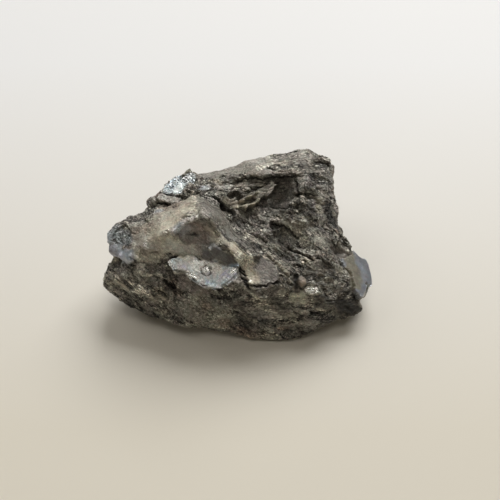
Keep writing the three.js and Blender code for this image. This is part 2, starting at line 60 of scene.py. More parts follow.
specimen = {
    "voxel": 0.205,  # spacing of the fine skin
    # the skin keeps this many triangles, and the hidden sides give theirs up first: what lies lower than
    # under, and more gently what faces away from the front
    "thinning": {"triangles": 192000, "under": 0.4, "front": (0, -0.64, 0.77), "turnedAway": -0.1,
                 "behindWeight": 0.5},
    "facetSize": 1,  # facets larger than this differ in how smooth and how light they are
    "soften": 8,  # rounds of smoothing that take the coarse facets away
    "footBand": 1.5,  # the broken grain fades out this close to the floor
    "boxEdge": 0.5,  # the skin is drawn inwards this close to the sides of the solid's box
    "patternStep": 0.5,  # spacing of the points that lay a path on the skin
    "pathTurn": 0.35, "pathBend": 0.25,  # how far a strewn path leaves the grain, and how far it bends

    # broken grain: facet sizes with their heights, and the ways it runs
    "chips": [(2.8, 0.45), (1.25, 0.18), (0.6, 0.12)],
    "chipStep": 0.35, "chipSeam": 0.12,
    "smoothFacets": (0.72, 0.8), "smoothLoss": 0.3,  # which large facets are smooth, and the relief they lose
    "roughSize": 0.45, "roughHeight": 0.05,
    "grains": {
        "broken": {"along": (1.4, -0.75, -0.7), "stretch": 1.7},
        "fibre": {"along": (1.6, -1.0, -0.75), "stretch": 3.6},
        "stroke": {"along": (1.0, 0.15, -0.12), "stretch": 3.2},
    },
    "grainFade": (0.5, 1.1),  # shares of an area's reach between which its grain fades out
    # where a grain other than the broken one shows: path, reach
    "grainAreas": {
        "fibre": [
            ([(-4.5, -7, 19), (0.5, -11, 16), (4.5, -14.5, 12.5)], 3.6),
            ([(-0.5, -0.5, 15.5), (2.5, -2, 13.5), (4.5, -5, 14)], 4),
            ([(0.5, -1.5, 14), (2.5, -4, 14), (4.5, -7, 14.5)], 4),
            ([(-25, -9.5, 7.5), (-21, -12, 8), (-16, -14, 6.5)], 4.5),
            ([(6, -10, 14), (7.5, -11.5, 13.5), (9, -13, 12.5)], 2),
        ],
        "stroke": [
            ([(9, 14.5, 16), (12, 11.5, 17), (17.5, 11.5, 15)], 5.5),
            ([(13, 9, 16.5), (16, 6, 15), (17, 4, 13.5)], 4),
            ([(15, -12.5, 10), (18, -12.5, 8.5), (22, -11.5, 6)], 4),
            ([(4.5, -16.5, 9), (10, -16.5, 6), (16, -15, 6)], 4.5),
            ([(-2, 4.5, 17), (2.5, 4.5, 16), (7.5, 6, 16)], 3),
        ],
    },

    # cleavage plates: outline seen from above, a point on the plate, its facing and its finish; flat, paint,
    # sheets and lip scale those parts of a plate, and are 1 where they aren't given
    "plates": [
        {"outline": [(-13.7, -10.6), (-12, -10.3), (-10.5, -9.9), (-8.6, -10.2), (-6.6, -11.3),
                     (-5, -11.4), (-2.1, -12.1), (0.3, -11.9), (-0.2, -13.2), (-1.5, -14.4),
                     (-3.2, -15.3), (-4.9, -15.7), (-5.9, -15.2), (-7.5, -14.5), (-8.8, -13.3),
                     (-9.6, -12.8), (-10.5, -12.5), (-12.2, -12.4)],
         "at": (-7, -12.9, 14), "facing": (0.0, -0.48, 0.88), "finish": "silver"},
        {"outline": [(-14.3, 4.3), (-13.6, 6), (-11.8, 7.6), (-10.3, 7.6), (-9.9, 5), (-10.7, 3),
                     (-12.6, 3.4)],
         "at": (-12.2, 5.2, 17.3), "facing": (-0.35, -0.1, 0.93), "finish": "brightMetal", "sheets": 2},
        {"outline": [(-10.8, 6.2), (-10, 8.6), (-8.6, 8.8), (-7.9, 7.4), (-8.2, 5.6), (-9.6, 5)],
         "at": (-9.4, 8.2, 17.3), "facing": (-0.2, 0.05, 0.98), "finish": "dullMetal", "sheets": 2},
        {"outline": [(-7.4, 3.2), (-6.8, 4.6), (-5.6, 5.8), (-4.9, 5.4), (-5, 3.6), (-6, 2.9)],
         "at": (-6, 3.6, 18.5), "facing": (-0.1, -0.3, 0.95), "finish": "blueGrey"},
        {"outline": [(19.4, -6), (20.6, -4.4), (21.8, -2.6), (23.2, -2.8), (24.6, -4), (25.6, -5.8),
                     (26, -8), (24.2, -11.6), (23.2, -13.8), (22.6, -12.4), (21.8, -11.7), (21.6, -9.8),
                     (21.4, -8), (20.2, -7.2)],
         "at": (23.3, -6.9, 6.6), "facing": (0.55, -0.12, 0.82), "finish": "slate", "sheets": 0.3},
        {"outline": [(-15.2, 3.4), (-14.4, 4), (-12.4, 2.7), (-10.2, 1.5), (-10.2, 1), (-12.2, 1.1),
                     (-14.8, 2.7)],
         "at": (-12.6, 2.2, 17.2), "facing": (-0.36, -0.27, 0.89), "finish": "ledge", "sheets": 0},
        {"outline": [(3.2, -10.4), (4.6, -9.8), (6, -10.4), (7.4, -12.2), (7.6, -13.8), (6.4, -14.7),
                     (4.2, -14.9), (3.2, -14.6)],
         "at": (4.8, -12, 13.4), "facing": (-0.12, -0.32, 0.94), "finish": "lilac", "flat": 0.8,
         "paint": 0.7, "lip": 0.2},
        {"outline": [(1.6, 3.9), (2.6, 4.9), (4.6, 5.8), (6.5, 6.5), (7.9, 6.6), (7.1, 5.3), (6.2, 4.4),
                     (4.6, 3.8), (3.2, 3.5)],
         "at": (5, 5.2, 16.5), "facing": (-0.08, -0.36, 0.92), "finish": "leaf", "sheets": 0, "lip": 1.2},
        {"outline": [(12.2, -13.4), (13.4, -13), (14.8, -13.4), (15, -14.2), (13.7, -14.5), (12.6, -14)],
         "at": (13.6, -13.6, 9.7), "facing": (0, -0.3, 0.95), "finish": "pale", "flat": 0.6, "paint": 0.6,
         "lip": 0.5},
        {"outline": [(-2.4, 0.8), (-1.0, 1.2), (1.4, 2.2), (3.8, 3.4), (4.6, 3.8), (3.8, 2.8), (1.9, 1.6),
                     (0, 1.0), (-1.8, 0.4)],
         "at": (1.2, 1.9, 16.1), "facing": (0.1, -0.4, 0.91), "finish": "leafTan", "sheets": 0, "lip": 0.4},
        {"outline": [(0.4, 3.0), (2.8, 4.2), (4.0, 5.0), (4.0, 4.4), (2.3, 3.4), (0.4, 2.4)],
         "at": (1.4, 3.3, 16.7), "facing": (0.1, -0.4, 0.91), "finish": "leafTan", "sheets": 0, "lip": 0.4},
    ],
    "plateReach": 1.4,  # a plate flattens the skin that lies this close to it
    "plateEdge": (-0.15, 0.15),  # where it begins and is whole, across its outline
    "plateCalm": 0.97,  # how much of the broken grain it takes away
    "plateWander": [(0.28, 1.1, 5), (0.12, 0.4, 9)],  # of its edge: how far, spacing, shift
    "plateLip": 0.28,  # how far the ground drops at a plate's edge
    "plateLipWidth": 0.55,
    "sheetHeight": 0.06, "sheetCount": 2.5, "sheetSize": 4.5, "sheetWave": 0.05, "sheetWaveSize": 1.2,
    # last pushes along the skin: path, width, height
    "trims": [
        ([(-23.4, -7.2, 10.2), (-22.4, -8, 10.4)], 1.3, -0.9),  # notch under the lobe
        ([(-24.4, -5, 8.9), (-24.6, -6.2, 8.4)], 1.4, -0.85),
        ([(-23.8, -4.8, 13.2), (-23.8, -6.2, 12.2)], 2.2, 0.25),  # lobe
        ([(-19.6, -1, 14.8), (-18, -0.4, 15), (-16.8, 0.2, 16)], 1.7, -0.5),
        ([(-19, 1.6, 13.9), (-18.2, 2.4, 13.9), (-18.1, 3.8, 12.9)], 1.8, -0.6),  # step in the left skyline
        ([(-17, 3.6, 14.2), (-16.2, 2.8, 15.6)], 1.2, 0.5),
        ([(4.6, 12.6, 16.4), (6.6, 13.2, 16.4), (8.6, 14, 16)], 2.4, -0.35),  # top of the slab
        ([(18.6, 5.2, 11.4), (18.4, 3.4, 11.4)], 1.5, -0.5),
        ([(20, -0.8, 9.2), (20.6, -1.4, 8.4)], 1.6, -0.8),
        ([(20.6, 1, 8.5), (21.6, 0.5, 7.8)], 1.9, -0.75),  # notch behind the flake
        ([(22.6, -2, 7), (23.6, -2.8, 6.4)], 1.2, -0.5),  # flake corners
        ([(25.6, -10, 4), (24.8, -12, 3.8)], 1.4, -0.8),
        ([(21.8, -14, 3.6), (22.6, -13.4, 3.6)], 1.5, 0.5),  # right foot
    ],
    # small round bosses on the plates, each in its own sunken ring: centre, radius, rise, depth of the ring
    "bosses": [((-5.6, -12.8, 14), 0.9, 0.22, 0.1)],
    # in radii: the two sides of the ring and of its dark paint, and how far both wander
    "bossRing": [(0.85, 1.0), (1.05, 1.3)], "bossPaint": [(0.85, 0.95), (1.0, 1.2)], "bossWander": 0.15,
    "bossWanderSize": 0.7, "bossDark": 0.8,  # spacing of the wandering, and how dark the paint is

    # broken edges: path with the high side on its left, reach on that side, height, depth of the gap below
    "scarps": [
        ([(-1, -0.8, 15.6), (-2.2, 0.2, 16.2), (-3.4, 1, 17.2), (-5.2, 1.6, 18.2), (-7, 1.8, 19),
          (-8.6, 1, 19), (-10.2, 1.2, 17.8)], 1.4, 0.2, 0.8),
        ([(5.5, -6.5, 13), (2.5, -3.5, 14), (-1, -0.8, 15.6)], 1.5, 0.2, 0.3),
        ([(0.4, 6.6, 17.6), (2.4, 7.2, 17.8), (4.6, 7, 17.4), (6.2, 7, 18), (8, 7.2, 17.6), (10, 7.4, 17.8),
          (11.8, 7.6, 17.8)], 1.5, 0.1, 0.4),
        ([(11.2, 6.8, 17.2), (11.6, 5, 16.4), (11.8, 1.6, 17.4), (11.4, 0.4, 16.6)], 1.2, 0.1, 0.3),
        ([(11.2, 0.2, 16.4), (8.8, 0.8, 15.4), (6.2, 2.6, 13.8), (3.4, 2.6, 14.6)], 1.0, 0.3, 0.2),
        ([(-14.8, 4.6, 16.2), (-13.6, 3.8, 16.6), (-12.2, 3, 17.2), (-10.4, 2.2, 17.8)], 0.6, 0.1, 0.9),
        ([(-15, 2.6, 15.6), (-14, 2, 16), (-12.4, 1.0, 16.8)], 0.6, 0.1, 0.9),
        ([(2.4, -14.6, 12.4), (3.8, -14.8, 12.4), (5.2, -14.8, 12.6), (6.8, -14.2, 12.6)], 1.2, 0.1, 0.6),
        ([(5.6, -9.4, 14.2), (7.4, -11.2, 13.6), (9.2, -12.4, 12.4)], 0.9, 0.25, 0.25),
        ([(4.6, -1.4, 14.4), (6.4, -0.8, 14.2), (8.2, -1.8, 14.4), (9.8, -3, 14),
          (11, -4, 13.4)], 1.1, 0.12, 0.5),
        ([(-19.4, -9.2, 13.2), (-17, -10, 13), (-15.2, -10.2, 12.8), (-13.6, -10.2, 13.2)], 1.2, 0.25, 0.2),
        ([(10, -6, 12.5), (12, -7, 12), (13.5, -8.5, 12.5)], 1.0, 0.3, 0.5),
    ],
    "scarpWaves": [(0.12, 2.9, (1, 1, 1)), (0.08, 7.1, (1, -1, 0.6))],  # their wavering: size, pitch, way
    # across an edge: where the fade runs as a share of the reach, the rise, and the gap's two sides
    "scarpFade": (0.25, 1.0), "scarpRise": (-0.12, 0.12), "scarpGap": [(-0.5, -0.3), (-0.1, 0.1)],
    # the gaps under the steps are real narrow cracks, and are also painted black as the shade in them; this
    # is how dark
    "gapPaintedShade": 0.8,
    # short broken edges strewn over the rough skin
    "strewn": {"seed": 11, "count": 200, "length": (1.2, 4.2), "reach": 0.9, "height": (0.04, 0.16),
               "gap": (0.05, 0.25)},

    # raised (above 0) and sunken (below 0) detail: path, width, height
    "relief": [
        ([(-11.5, -7.5, 18.5), (-9.5, -6, 20), (-7.5, -5.5, 20.5)], 0.8, 0.25),
        ([(-10, -7.5, 18.5), (-7.5, -7, 18.5), (-5.5, -7, 19)], 1.8, -0.25),
        ([(2.4, 6.6, 17.2), (3.8, 6.8, 17.2), (5.4, 6.4, 17.2)], 1.0, -0.4),
        ([(6.2, 6.8, 17.6), (7.6, 7, 17.6), (8.8, 7, 17)], 0.8, -0.4),
        ([(-1.4, 3, 17), (-0.4, 4, 16), (0.6, 3.2, 16)], 0.9, -1.1),
        ([(-2.8, 0.4, 16.6), (-2, 0.2, 16.2), (-1, -0.2, 15.6)], 0.9, -1.2),
        ([(6.8, -1.8, 13.8), (8, -2.6, 13), (8.6, -4.6, 13)], 1.3, -0.6),
        ([(7.2, -6.2, 12.6), (8, -7, 12.2)], 1.0, 0.4),
        ([(10.8, -11.8, 11.2), (10.6, -12.8, 11.2), (11.2, -13.4, 10.2)], 0.6, -0.5),
        ([(11.8, -12.8, 11)], 1.3, 0.55),
        ([(-17.6, -10.6, 12.2), (-16.2, -10.6, 12.2), (-14.4, -10.8, 12)], 1.2, -0.4),
        ([(-18.2, -11, 11.4), (-16.8, -11.4, 11), (-15.4, -11.2, 11.4), (-14, -11.6, 11.2)], 0.55, 0.2),
        ([(-13.4, -12.2, 10.4), (-12.6, -12.8, 9.8), (-12, -13.2, 9.4)], 0.45, -0.8),
        ([(-14.4, -13.6, 9), (-13.6, -13.8, 8.4), (-12.8, -14.4, 8)], 0.45, -0.8),
        ([(19.5, -7, 9.5), (20.5, -7.5, 8.5), (21.5, -7.5, 7.5)], 0.6, -0.7),
        ([(18, -5.2, 11), (19.4, -4.2, 8.4), (20.6, -3.6, 7.8)], 1.2, -0.6),
    ],

    # a row of short slots cut side by side
    "slots": {"start": (0.5, -12, 14.2), "end": (1.4, -14.6, 12.4), "count": 6, "run": (0.9, -0.5, -0.9),
              "width": 0.24, "whole": 0.4, "depth": 0.45},

    # colour, metal, roughness, grain (how strongly the fine facets show), bloom, speck
    "finishes": {
        "ore": ((0.273, 0.259, 0.237), 0.4, 0.40, 1.0, 0, 0.7),
        "sooty": ((0.05, 0.047, 0.042), 0.3, 0.4, 1.0, 0, 1.0),
        "dark": ((0.095, 0.087, 0.078), 0.3, 0.45, 0.8, 0, 0.3),
        "black": ((0.008, 0.007, 0.006), 0.0, 0.7, 0.5, 0, 0),
        "tan": ((0.56, 0.515, 0.43), 0.1, 0.55, 0.2, 0, 0.08),
        "olive": ((0.30, 0.29, 0.24), 0.2, 0.5, 0.8, 0, 0.6),
        "grey": ((0.37, 0.355, 0.325), 0.2, 0.5, 0.35, 0, 0.15),
        "purple": ((0.24, 0.213, 0.207), 0.4, 0.38, 0.35, 0, 0.1),
        "shade": ((0.20, 0.187, 0.168), 0.1, 0.6, 0.5, 0, 0.3),
        # pale grey, painted light on the bowl floor
        "ashPaintedLight": ((0.60, 0.595, 0.575), 0.05, 0.6, 0.2, 0, 0.1),
        # a dark blue-grey: the wall's own tint, painted darker as shade on a face turned from the light
        "wall": ((0.135, 0.133, 0.137), 0.2, 0.5, 0.25, 0, 0.1),
        "rust": ((0.27, 0.20, 0.165), 0.1, 0.55, 0.6, 0, 0.5),
        "silver": ((0.66, 0.68, 0.725), 0.5, 0.36, 0.3, 0.6, 0.14),
        # near-white for a painted highlight on the silver plate
        "paintedSilverHighlight": ((0.95, 0.94, 0.92), 0.3, 0.35, 0.4, 0, 0.2),
        "blueSilver": ((0.66, 0.71, 0.80), 0.5, 0.3, 0.32, 0.8, 0.12),
        # white for painted highlights, which also mirrors the lamps
        "glint": ((1.0, 1.0, 1.0), 0.85, 0.16, 0.4, 0, 0),
        # its blue tint is partly a painted reflection of blue daylight
        "brightMetal": ((0.74, 0.86, 0.96), 0.8, 0.28, 0.7, 0.2, 0.6),
        # near-white blue for a painted reflection of daylight on the bright metal
        "paintedBlueReflection": ((0.88, 0.96, 1.0), 0.4, 0.25, 0.3, 0, 0.15),
        "dullMetal": ((0.62, 0.65, 0.68), 0.9, 0.3, 0.9, 0.2, 0.9),
        "blueGrey": ((0.42, 0.42, 0.44), 0.5, 0.38, 0.4, 0.3, 0.25),
        "green": ((0.46, 0.45, 0.375), 0.1, 0.5, 0.5, 0, 0.2),
        "light": ((0.42, 0.395, 0.34), 0.3, 0.4, 0.9, 0, 0.5),
        "ledge": ((0.52, 0.50, 0.485), 0.25, 0.35, 0.5, 0, 0.3),
        "leaf": ((0.27, 0.253, 0.227), 0.5, 0.35, 0.6, 0, 0.2),
        "leafTan": ((0.28, 0.258, 0.205), 0.3, 0.45, 0.8, 0, 0.4),
        "lobe": ((0.275, 0.295, 0.315), 0.4, 0.4, 0.7, 0, 0.5),
        "slate": ((0.39, 0.41, 0.475), 0.6, 0.3, 0.12, 0.3, 0),
        # a light blue-grey for painted sheen on the lobe and the flake
        "paintedSlateSheen": ((0.49, 0.52, 0.60), 0.35, 0.3, 0.1, 0.3, 0),
        "flakeTan": ((0.25, 0.234, 0.19), 0.2, 0.4, 0.15, 0, 0.1),
        "lilac": ((0.16, 0.145, 0.138), 0.2, 0.5, 0.5, 0, 0.25),
        "pebble": ((0.27, 0.225, 0.19), 0.1, 0.5, 0.4, 0, 0.2),
        "pale": ((0.68, 0.65, 0.58), 0.3, 0.35, 0.7, 0, 0.6),
    },
    # small clouds of other finishes, strewn over the ore
    "mottles": {"seed": 5, "count": 260, "length": (0.4, 2.4), "reach": (0.5, 1.5), "strength": (0.3, 0.75),
                "finishes": ["tan", "olive", "grey", "dark", "dark", "purple", "rust", "black"]},
    # where a finish lies: path, reach, finish, strength, and how far it calms the broken grain
    "marks": [
        # the raised block on the left: its top, crest and right side
        ([(-18, -6.5, 15.5), (-15, -6, 17), (-12, -2, 18), (-9.5, -2, 19.4)], 4.0, "tan", 0.45, 0.75),
        ([(-15, -7, 17), (-13.5, -6, 18), (-11.5, -4, 19), (-9.5, -3, 19.5)], 2.2, "tan", 0.6, 0.8),
        ([(-14, 1.5, 16), (-11.5, -0.5, 18)], 1.3, "rust", 0.45, 0.4),
        ([(-19, -4, 15), (-16, -4.5, 16.5)], 1.4, "rust", 0.45, 0.3),
        ([(-9, -1.5, 19.5)], 1.0, "rust", 0.35, 0.4),
        ([(-13, -2, 18), (-11, -1, 18.5)], 1.2, "grey", 0.4, 0.5),
        ([(-7, -4, 21), (-4.5, -5, 20.5), (-3, -5, 19), (-1.5, -6, 17)], 2.4, "grey", 0.25, 0.7),
        # the bowl in front of it, and the bowl's rim
        # the bowl's floor: pale tan, and lighter still as painted light where it lies in shade
        ([(-14, -9, 16.5), (-12, -9, 16.5), (-10.5, -9, 15.5), (-8.5, -9.5, 15.5)], 2.2, "tan", 1.0, 0.9),
        ([(-12, -9, 16.4), (-9.6, -9, 15.8), (-8.2, -9.6, 15.6)], 1.8, "ashPaintedLight", 0.85, 0.95),
        ([(-9, -9.5, 15.5), (-7, -9.5, 16)], 1.1, "grey", 0.6, 0.9),
        ([(-9.5, -7, 18.5), (-8, -7, 19), (-5.5, -7, 19)], 1.9, "purple", 0.9, 0.8),
        ([(-9.5, -8, 17), (-7, -8, 17), (-5.5, -8, 18)], 1.3, "purple", 0.7, 0.8),
        ([(-7, -6, 19.5), (-6, -7.5, 18)], 1.0, "rust", 0.35, 0.8),
        ([(-11.5, -7.5, 18.5), (-10.5, -6.5, 19.5), (-9.5, -6, 20), (-7.5, -5.5, 20.5)], 0.8,
          "ledge", 0.7, 0.7),
        ([(-11.2, -6.8, 19), (-10, -7.3, 18.6), (-9, -7, 19)], 1.2, "slate", 0.35, 0.85),
        ([(-11.2, -7.3, 18.6), (-10.2, -6.7, 19.2)], 0.7, "blueSilver", 0.5, 0.7),
        # the streak from the block down to the slots
        ([(-5, -7, 19), (-2.5, -9, 18), (0, -10, 17)], 1.3, "tan", 0.6, 0.4),
        ([(-0.2, -10.2, 16.8), (1.2, -11, 15), (2.4, -12.2, 12.8), (3, -14, 12.6)], 1.5, "tan", 0.95, 0.5),
        ([(0.2, -11, 16), (1.2, -11, 15), (2.4, -11, 13.8)], 1.3, "pale", 0.7, 0.9),
        # painted shade on the wall under the crest, which faces away from the light
        ([(-5.5, -10.5, 16), (-4, -11, 17), (-3, -11, 16), (-1.5, -11.5, 15)], 1.5, "wall", 0.95, 0.9),
        ([(-5, -10.2, 17.6), (-3.6, -10.6, 17)], 1.1, "wall", 0.85, 0.9),
        # the left shoulder
        ([(-18.5, -7, 15), (-16, -8.5, 15), (-14, -9, 16)], 2.2, "grey", 0.6, 0.5),
        ([(-19.5, -9, 13.5), (-17, -9.5, 13.5), (-15, -10, 13.5)], 1.2, "grey", 0.6, 0.6),
        # the lobe at the left end
        ([(-24, -3.5, 14), (-22.5, -3, 14), (-21, -4.5, 14.5)], 1.7, "lobe", 0.8, 0.3),
        ([(-23.5, -5, 13.5), (-22, -5, 13.5), (-20.5, -5.5, 14)], 1.8, "lobe", 0.9, 0.3),
        ([(-23, -7, 12), (-21.5, -7.5, 12.5), (-20, -9, 13.5)], 1.7, "slate", 0.85, 0.8),
        # painted sheen along the lobe's left edge
        ([(-24, -4, 13.5), (-24, -6, 12.5)], 0.8, "paintedSlateSheen", 0.8, 0.3),
        # a small blue plate behind the block
        ([(-16.5, -0.5, 16), (-14.5, -0.5, 16.5)], 1.0, "blueGrey", 0.8, 0.5),
        # the recess left of the silver plate, painted lighter as painted light where it lies in shade, with a
        # darker middle and its pale edge
        ([(-17.8, -10.6, 12.2), (-16.2, -10.6, 12.2), (-14.4, -10.8, 12)], 1.3, "ledge", 0.8, 0.9),
        ([(-16.4, -10.6, 12.2), (-15, -10.7, 12.1)], 0.8, "dark", 0.4, 0.9),
        ([(-18.2, -11, 11.4), (-16.8, -11.4, 11), (-15.4, -11.2, 11.4), (-14, -11.6, 11.2)], 0.5,
          "pale", 0.8, 0.8),
        # the left end of the front
        ([(-21, -11.4, 10.8), (-19.4, -12.2, 10), (-17.6, -12.8, 9.6)], 0.8, "light", 0.6, 0.1),
        ([(-24, -10.5, 8), (-22, -11.4, 6.6), (-20.6, -12.6, 5.4), (-18.6, -13.8, 4.2)], 1.5,
          "sooty", 0.55, 0.0),
        # two painted highlights
        ([(-16, -0.4, 16.1)], 0.5, "glint", 0.9, 0.5),
        ([(-17, -7.8, 15.6)], 0.5, "glint", 0.9, 0.5),
        # the slab at the back, and the ledge along its front
        ([(-4.5, 10, 16.5), (-0.5, 14, 14), (3.5, 13, 16.5)], 3.5, "grey", 0.5, 0.85),
        ([(-4, 9.4, 16.4), (-1, 11, 16), (2.4, 10, 17.4)], 2.8, "shade", 0.6, 0.85),
        ([(4, 9.6, 17.6), (5.4, 11, 17), (7.2, 13.2, 16.2)], 0.9, "pale", 0.7, 0.9),
        ([(7.5, 12.5, 16), (10, 13.5, 16), (13, 13, 16.5)], 2.6, "grey", 0.4, 0.6),
        ([(0.5, 8, 17), (4.5, 8, 18), (9, 8.5, 18), (12, 8.5, 18)], 0.8, "rust", 0.3, 0.2),
        # painted shade in the pockets under the ledge and beside the leaves
        ([(2.5, 6.5, 17), (4, 7, 17), (5.5, 6.5, 17)], 1.1, "dark", 0.2, 0.6),
        ([(6, 7, 17.5), (7.5, 7, 17.5), (9, 7, 17)], 0.9, "dark", 0.5, 0.3),
        ([(-1.5, 3, 17), (-0.5, 4, 16), (0.5, 3, 16)], 1.0, "dark", 0.65, 0.5),
        ([(-3, 0.5, 16.5), (-2, 0, 16), (-1, 0, 15.5)], 1.0, "dark", 0.9, 0.4),
        # painted shade in the hollow, with a painted highlight
        ([(9, 7, 16.5), (9, 5.5, 15), (9.5, 4, 15), (9, 1.5, 15), (7, 3, 14)], 2.2, "dark", 0.85, 0.9),
        ([(6, 4, 14.5), (6.5, 4.5, 14)], 0.4, "glint", 0.7, 0.5),
        # the right side
        ([(19, 14, 12.5), (19, 11, 12.5), (19, 8, 11.5)], 0.9, "rust", 0.4, 0.1),
        ([(17, 3.5, 13), (18, 3, 12), (19.5, 3, 8.5)], 2.0, "dark", 0.8, 0.1),
        ([(11.5, 0.5, 17), (13, 0, 16), (14.5, 0.5, 15)], 1.3, "dark", 0.7, 0.1),
        # the scar in the middle
        ([(7, -2, 14), (8, -2.5, 13), (8.5, -4.5, 13), (8, -6, 12.5)], 1.6, "dark", 0.75, 0.3),
        ([(6, -3.5, 14), (7, -5, 13), (9, -6, 12.5)], 1.1, "dark", 0.6, 0.2),
        ([(8, -1.5, 14.5), (9.5, -2.5, 14.5), (11, -3, 14.5)], 0.7, "grey", 0.8, 0.2),
        ([(7, -6, 12.5), (8, -7, 12)], 1.0, "olive", 0.7, 0.4),
        # the slope right of the scar
        ([(13.4, -1.8, 14), (15, -2.8, 13.2), (15.6, -5.8, 13.4)], 1.4, "light", 0.25, 0.7),
        ([(9.4, -2.8, 13.8), (11, -3.6, 13.8), (12.6, -5, 13)], 1.3, "olive", 0.7, 0.8),
        ([(13, -4, 13.5), (15, -5, 13), (17, -6, 13)], 3.0, "olive", 0.35, 0.1),
        # the low face on the right, and the edges of the step
        ([(15, -12.5, 10), (18, -12.5, 8.5), (20.5, -11.5, 6.5)], 1.0, "dark", 0.6, 0.0),
        ([(5.5, -9.5, 14), (7.5, -11, 13.5), (9, -12.5, 12.5)], 0.8, "tan", 0.5, 0.3),
        ([(3, -15, 12), (5, -15.5, 12), (6.5, -15, 11)], 1.0, "dark", 0.7, 0.3),
        # the pebble in its pit, and the pale and green grains beside it
        ([(11, -12, 11), (10.5, -13, 11), (11, -13.5, 10)], 0.6, "black", 0.8, 0.4),
        ([(12, -13, 11)], 1.2, "pebble", 1.0, 0.9),
        ([(12.4, -13.6, 9.5), (13.6, -13.6, 9.6), (14.6, -13.9, 9.4)], 0.8, "pale", 0.9, 0.3),
        # a painted highlight on the pale grains
        ([(12.8, -13.6, 9.6), (14.2, -13.8, 9.5)], 0.8, "glint", 0.9, 0.3),
        ([(10.4, -14.8, 8.4), (11.4, -14.6, 8.6), (12, -14.8, 8.2)], 1.3, "green", 1.0, 0.5),
        # light and dark patches in front and on the right
        ([(3.8, -16.4, 10), (4.8, -16.4, 8.8), (5.6, -16.2, 7.8)], 1.5, "light", 0.75, 0.0),
        ([(13.8, -15.4, 7.6), (15.2, -15.8, 7.4), (17.2, -15.6, 5.8)], 1.4, "light", 0.75, 0.0),
        ([(15.6, -10.8, 11.2), (16.8, -11.6, 9.8), (17.8, -11.8, 9)], 1.3, "light", 0.45, 0.0),
        ([(4.6, -18.4, 2.2), (5.6, -18.4, 1.6), (6.6, -18.4, 1.6)], 1.2, "light", 0.8, 0.0),
        ([(6.6, -15.6, 9.2), (7.2, -15.8, 8), (8, -16.2, 7)], 1.5, "dark", 0.6, 0.0),
        ([(0.4, -16.6, 8.4), (1.2, -17.2, 7), (2, -17.2, 4.6)], 1.6, "dark", 0.55, 0.0),
        ([(9.8, -18, 2.8), (11.2, -18, 2), (12.6, -18, 1.6)], 1.6, "dark", 0.6, 0.0),
        ([(19.6, -13.8, 5), (20.8, -14, 4.2), (22.2, -13.8, 3.6)], 1.6, "black", 0.7, 0.0),
        ([(15.6, -9.2, 12), (17.2, -9.4, 10.6), (17.8, -10.8, 10)], 1.0, "dark", 0.65, 0.0),
        ([(15, -6.2, 13.2), (16.4, -6.6, 13.2), (17.8, -6.2, 11.4)], 1.2, "dark", 0.5, 0.0),
        ([(15.4, -1.6, 13.2), (16.4, -3.2, 12.8), (17.2, -4.6, 12.2)], 1.5, "dark", 0.35, 0.0),
        ([(-24.6, -9.6, 9), (-23.4, -9.8, 9.2), (-21.6, -11.2, 10)], 0.5, "light", 0.8, 0.0),
        ([(-25, -9.4, 7.6), (-23.2, -10.8, 8), (-21.2, -12, 7.4)], 0.5, "light", 0.8, 0.0),
        ([(17.4, 3.6, 12.6), (17.8, 2.6, 11.8), (18.2, 1.6, 11)], 1.8, "sooty", 0.9, 0.0),
        ([(14.2, -10.6, 11.6), (16.2, -11.8, 10), (18, -11.4, 8.6)], 2.2, "dark", 0.3, 0.0),
        ([(13.4, 10, 17), (15.6, 8, 15.6), (17, 5.6, 14.4)], 3, "dark", 0.2, 0.0),
        # the lower leaf, and the shade right of the crest
        ([(-2.4, 1.8, 17), (-1, 1.9, 16.6), (0.6, 2, 16), (2.6, 2.4, 15)], 0.7, "tan", 0.6, 0.2),
        ([(-6, -0.6, 19.6), (-4.6, -1.8, 19), (-3.2, -2.6, 18.2), (-2.2, -4, 17.6)], 2.0,
          "shade", 0.8, 0.8),
        ([(-6.4, -2.2, 20.4), (-5, -3, 20), (-4.4, -4.6, 20.4), (-4, -6, 19.8)], 2.0, "shade", 0.75, 0.8),
        ([(-5.8, -1, 19.4), (-4.6, -1.4, 18.6), (-3.2, -2, 18)], 1.5, "dark", 0.5, 0.9),
        # more on the lobe, the shoulder and the brow
        # painted sheen on the lobe's lower side
        ([(-22.4, -6.6, 12.4), (-21.4, -7.6, 12.6), (-20.2, -9, 13)], 1.7, "paintedSlateSheen", 0.85, 0.7),
        ([(-19, -3.6, 15), (-18, -5.6, 15)], 1.8, "shade", 0.3, 0.4),
        ([(-18, -9, 13.8), (-16.4, -9.6, 13.8), (-14.8, -9.6, 14.4)], 1.5, "tan", 0.4, 0.5),
        ([(-16, -11, 12), (-13.5, -11.5, 12), (-11, -13, 12.5)], 1.2, "dark", 0.5, 0.4),
        ([(-10, -13.5, 11.5), (-7.5, -15, 10.5), (-5.5, -15, 9.5)], 1.4, "purple", 0.6, 0.6),
        # the front's pale patch and left edges
        ([(-18.4, -13.4, 9), (-17.4, -13.6, 8.8), (-16.6, -13.8, 8.2)], 1.3, "pale", 0.95, 0.7),
        ([(-24.5, -10, 9.5), (-23.5, -10.5, 9), (-22, -11.5, 8.5)], 0.5, "grey", 0.8, 0.0),
        ([(-24, -11, 7), (-23, -11.5, 6.5), (-21, -12.5, 6)], 0.5, "grey", 0.7, 0.0),
        ([(-22.5, -11, 9), (-20.5, -12.5, 8)], 0.5, "tan", 0.6, 0.0),
        ([(-23, -12, 5), (-19, -14.5, 3.5), (-15, -16, 2)], 1.1, "sooty", 0.7, 0.0),
        # the low front
        ([(-7.5, -15.5, 8.5), (-6, -15.5, 7), (-4, -16, 6), (-2, -17, 5)], 2.4, "olive", 0.4, 0.8),
        ([(-9.5, -16.5, 7), (-7, -17, 5), (-4, -17, 3.5)], 2.4, "olive", 0.25, 0.8),
        ([(-2.5, -17, 4), (-0.5, -18, 2.5), (2.5, -18.5, 2)], 1.3, "rust", 0.35, 0.3),
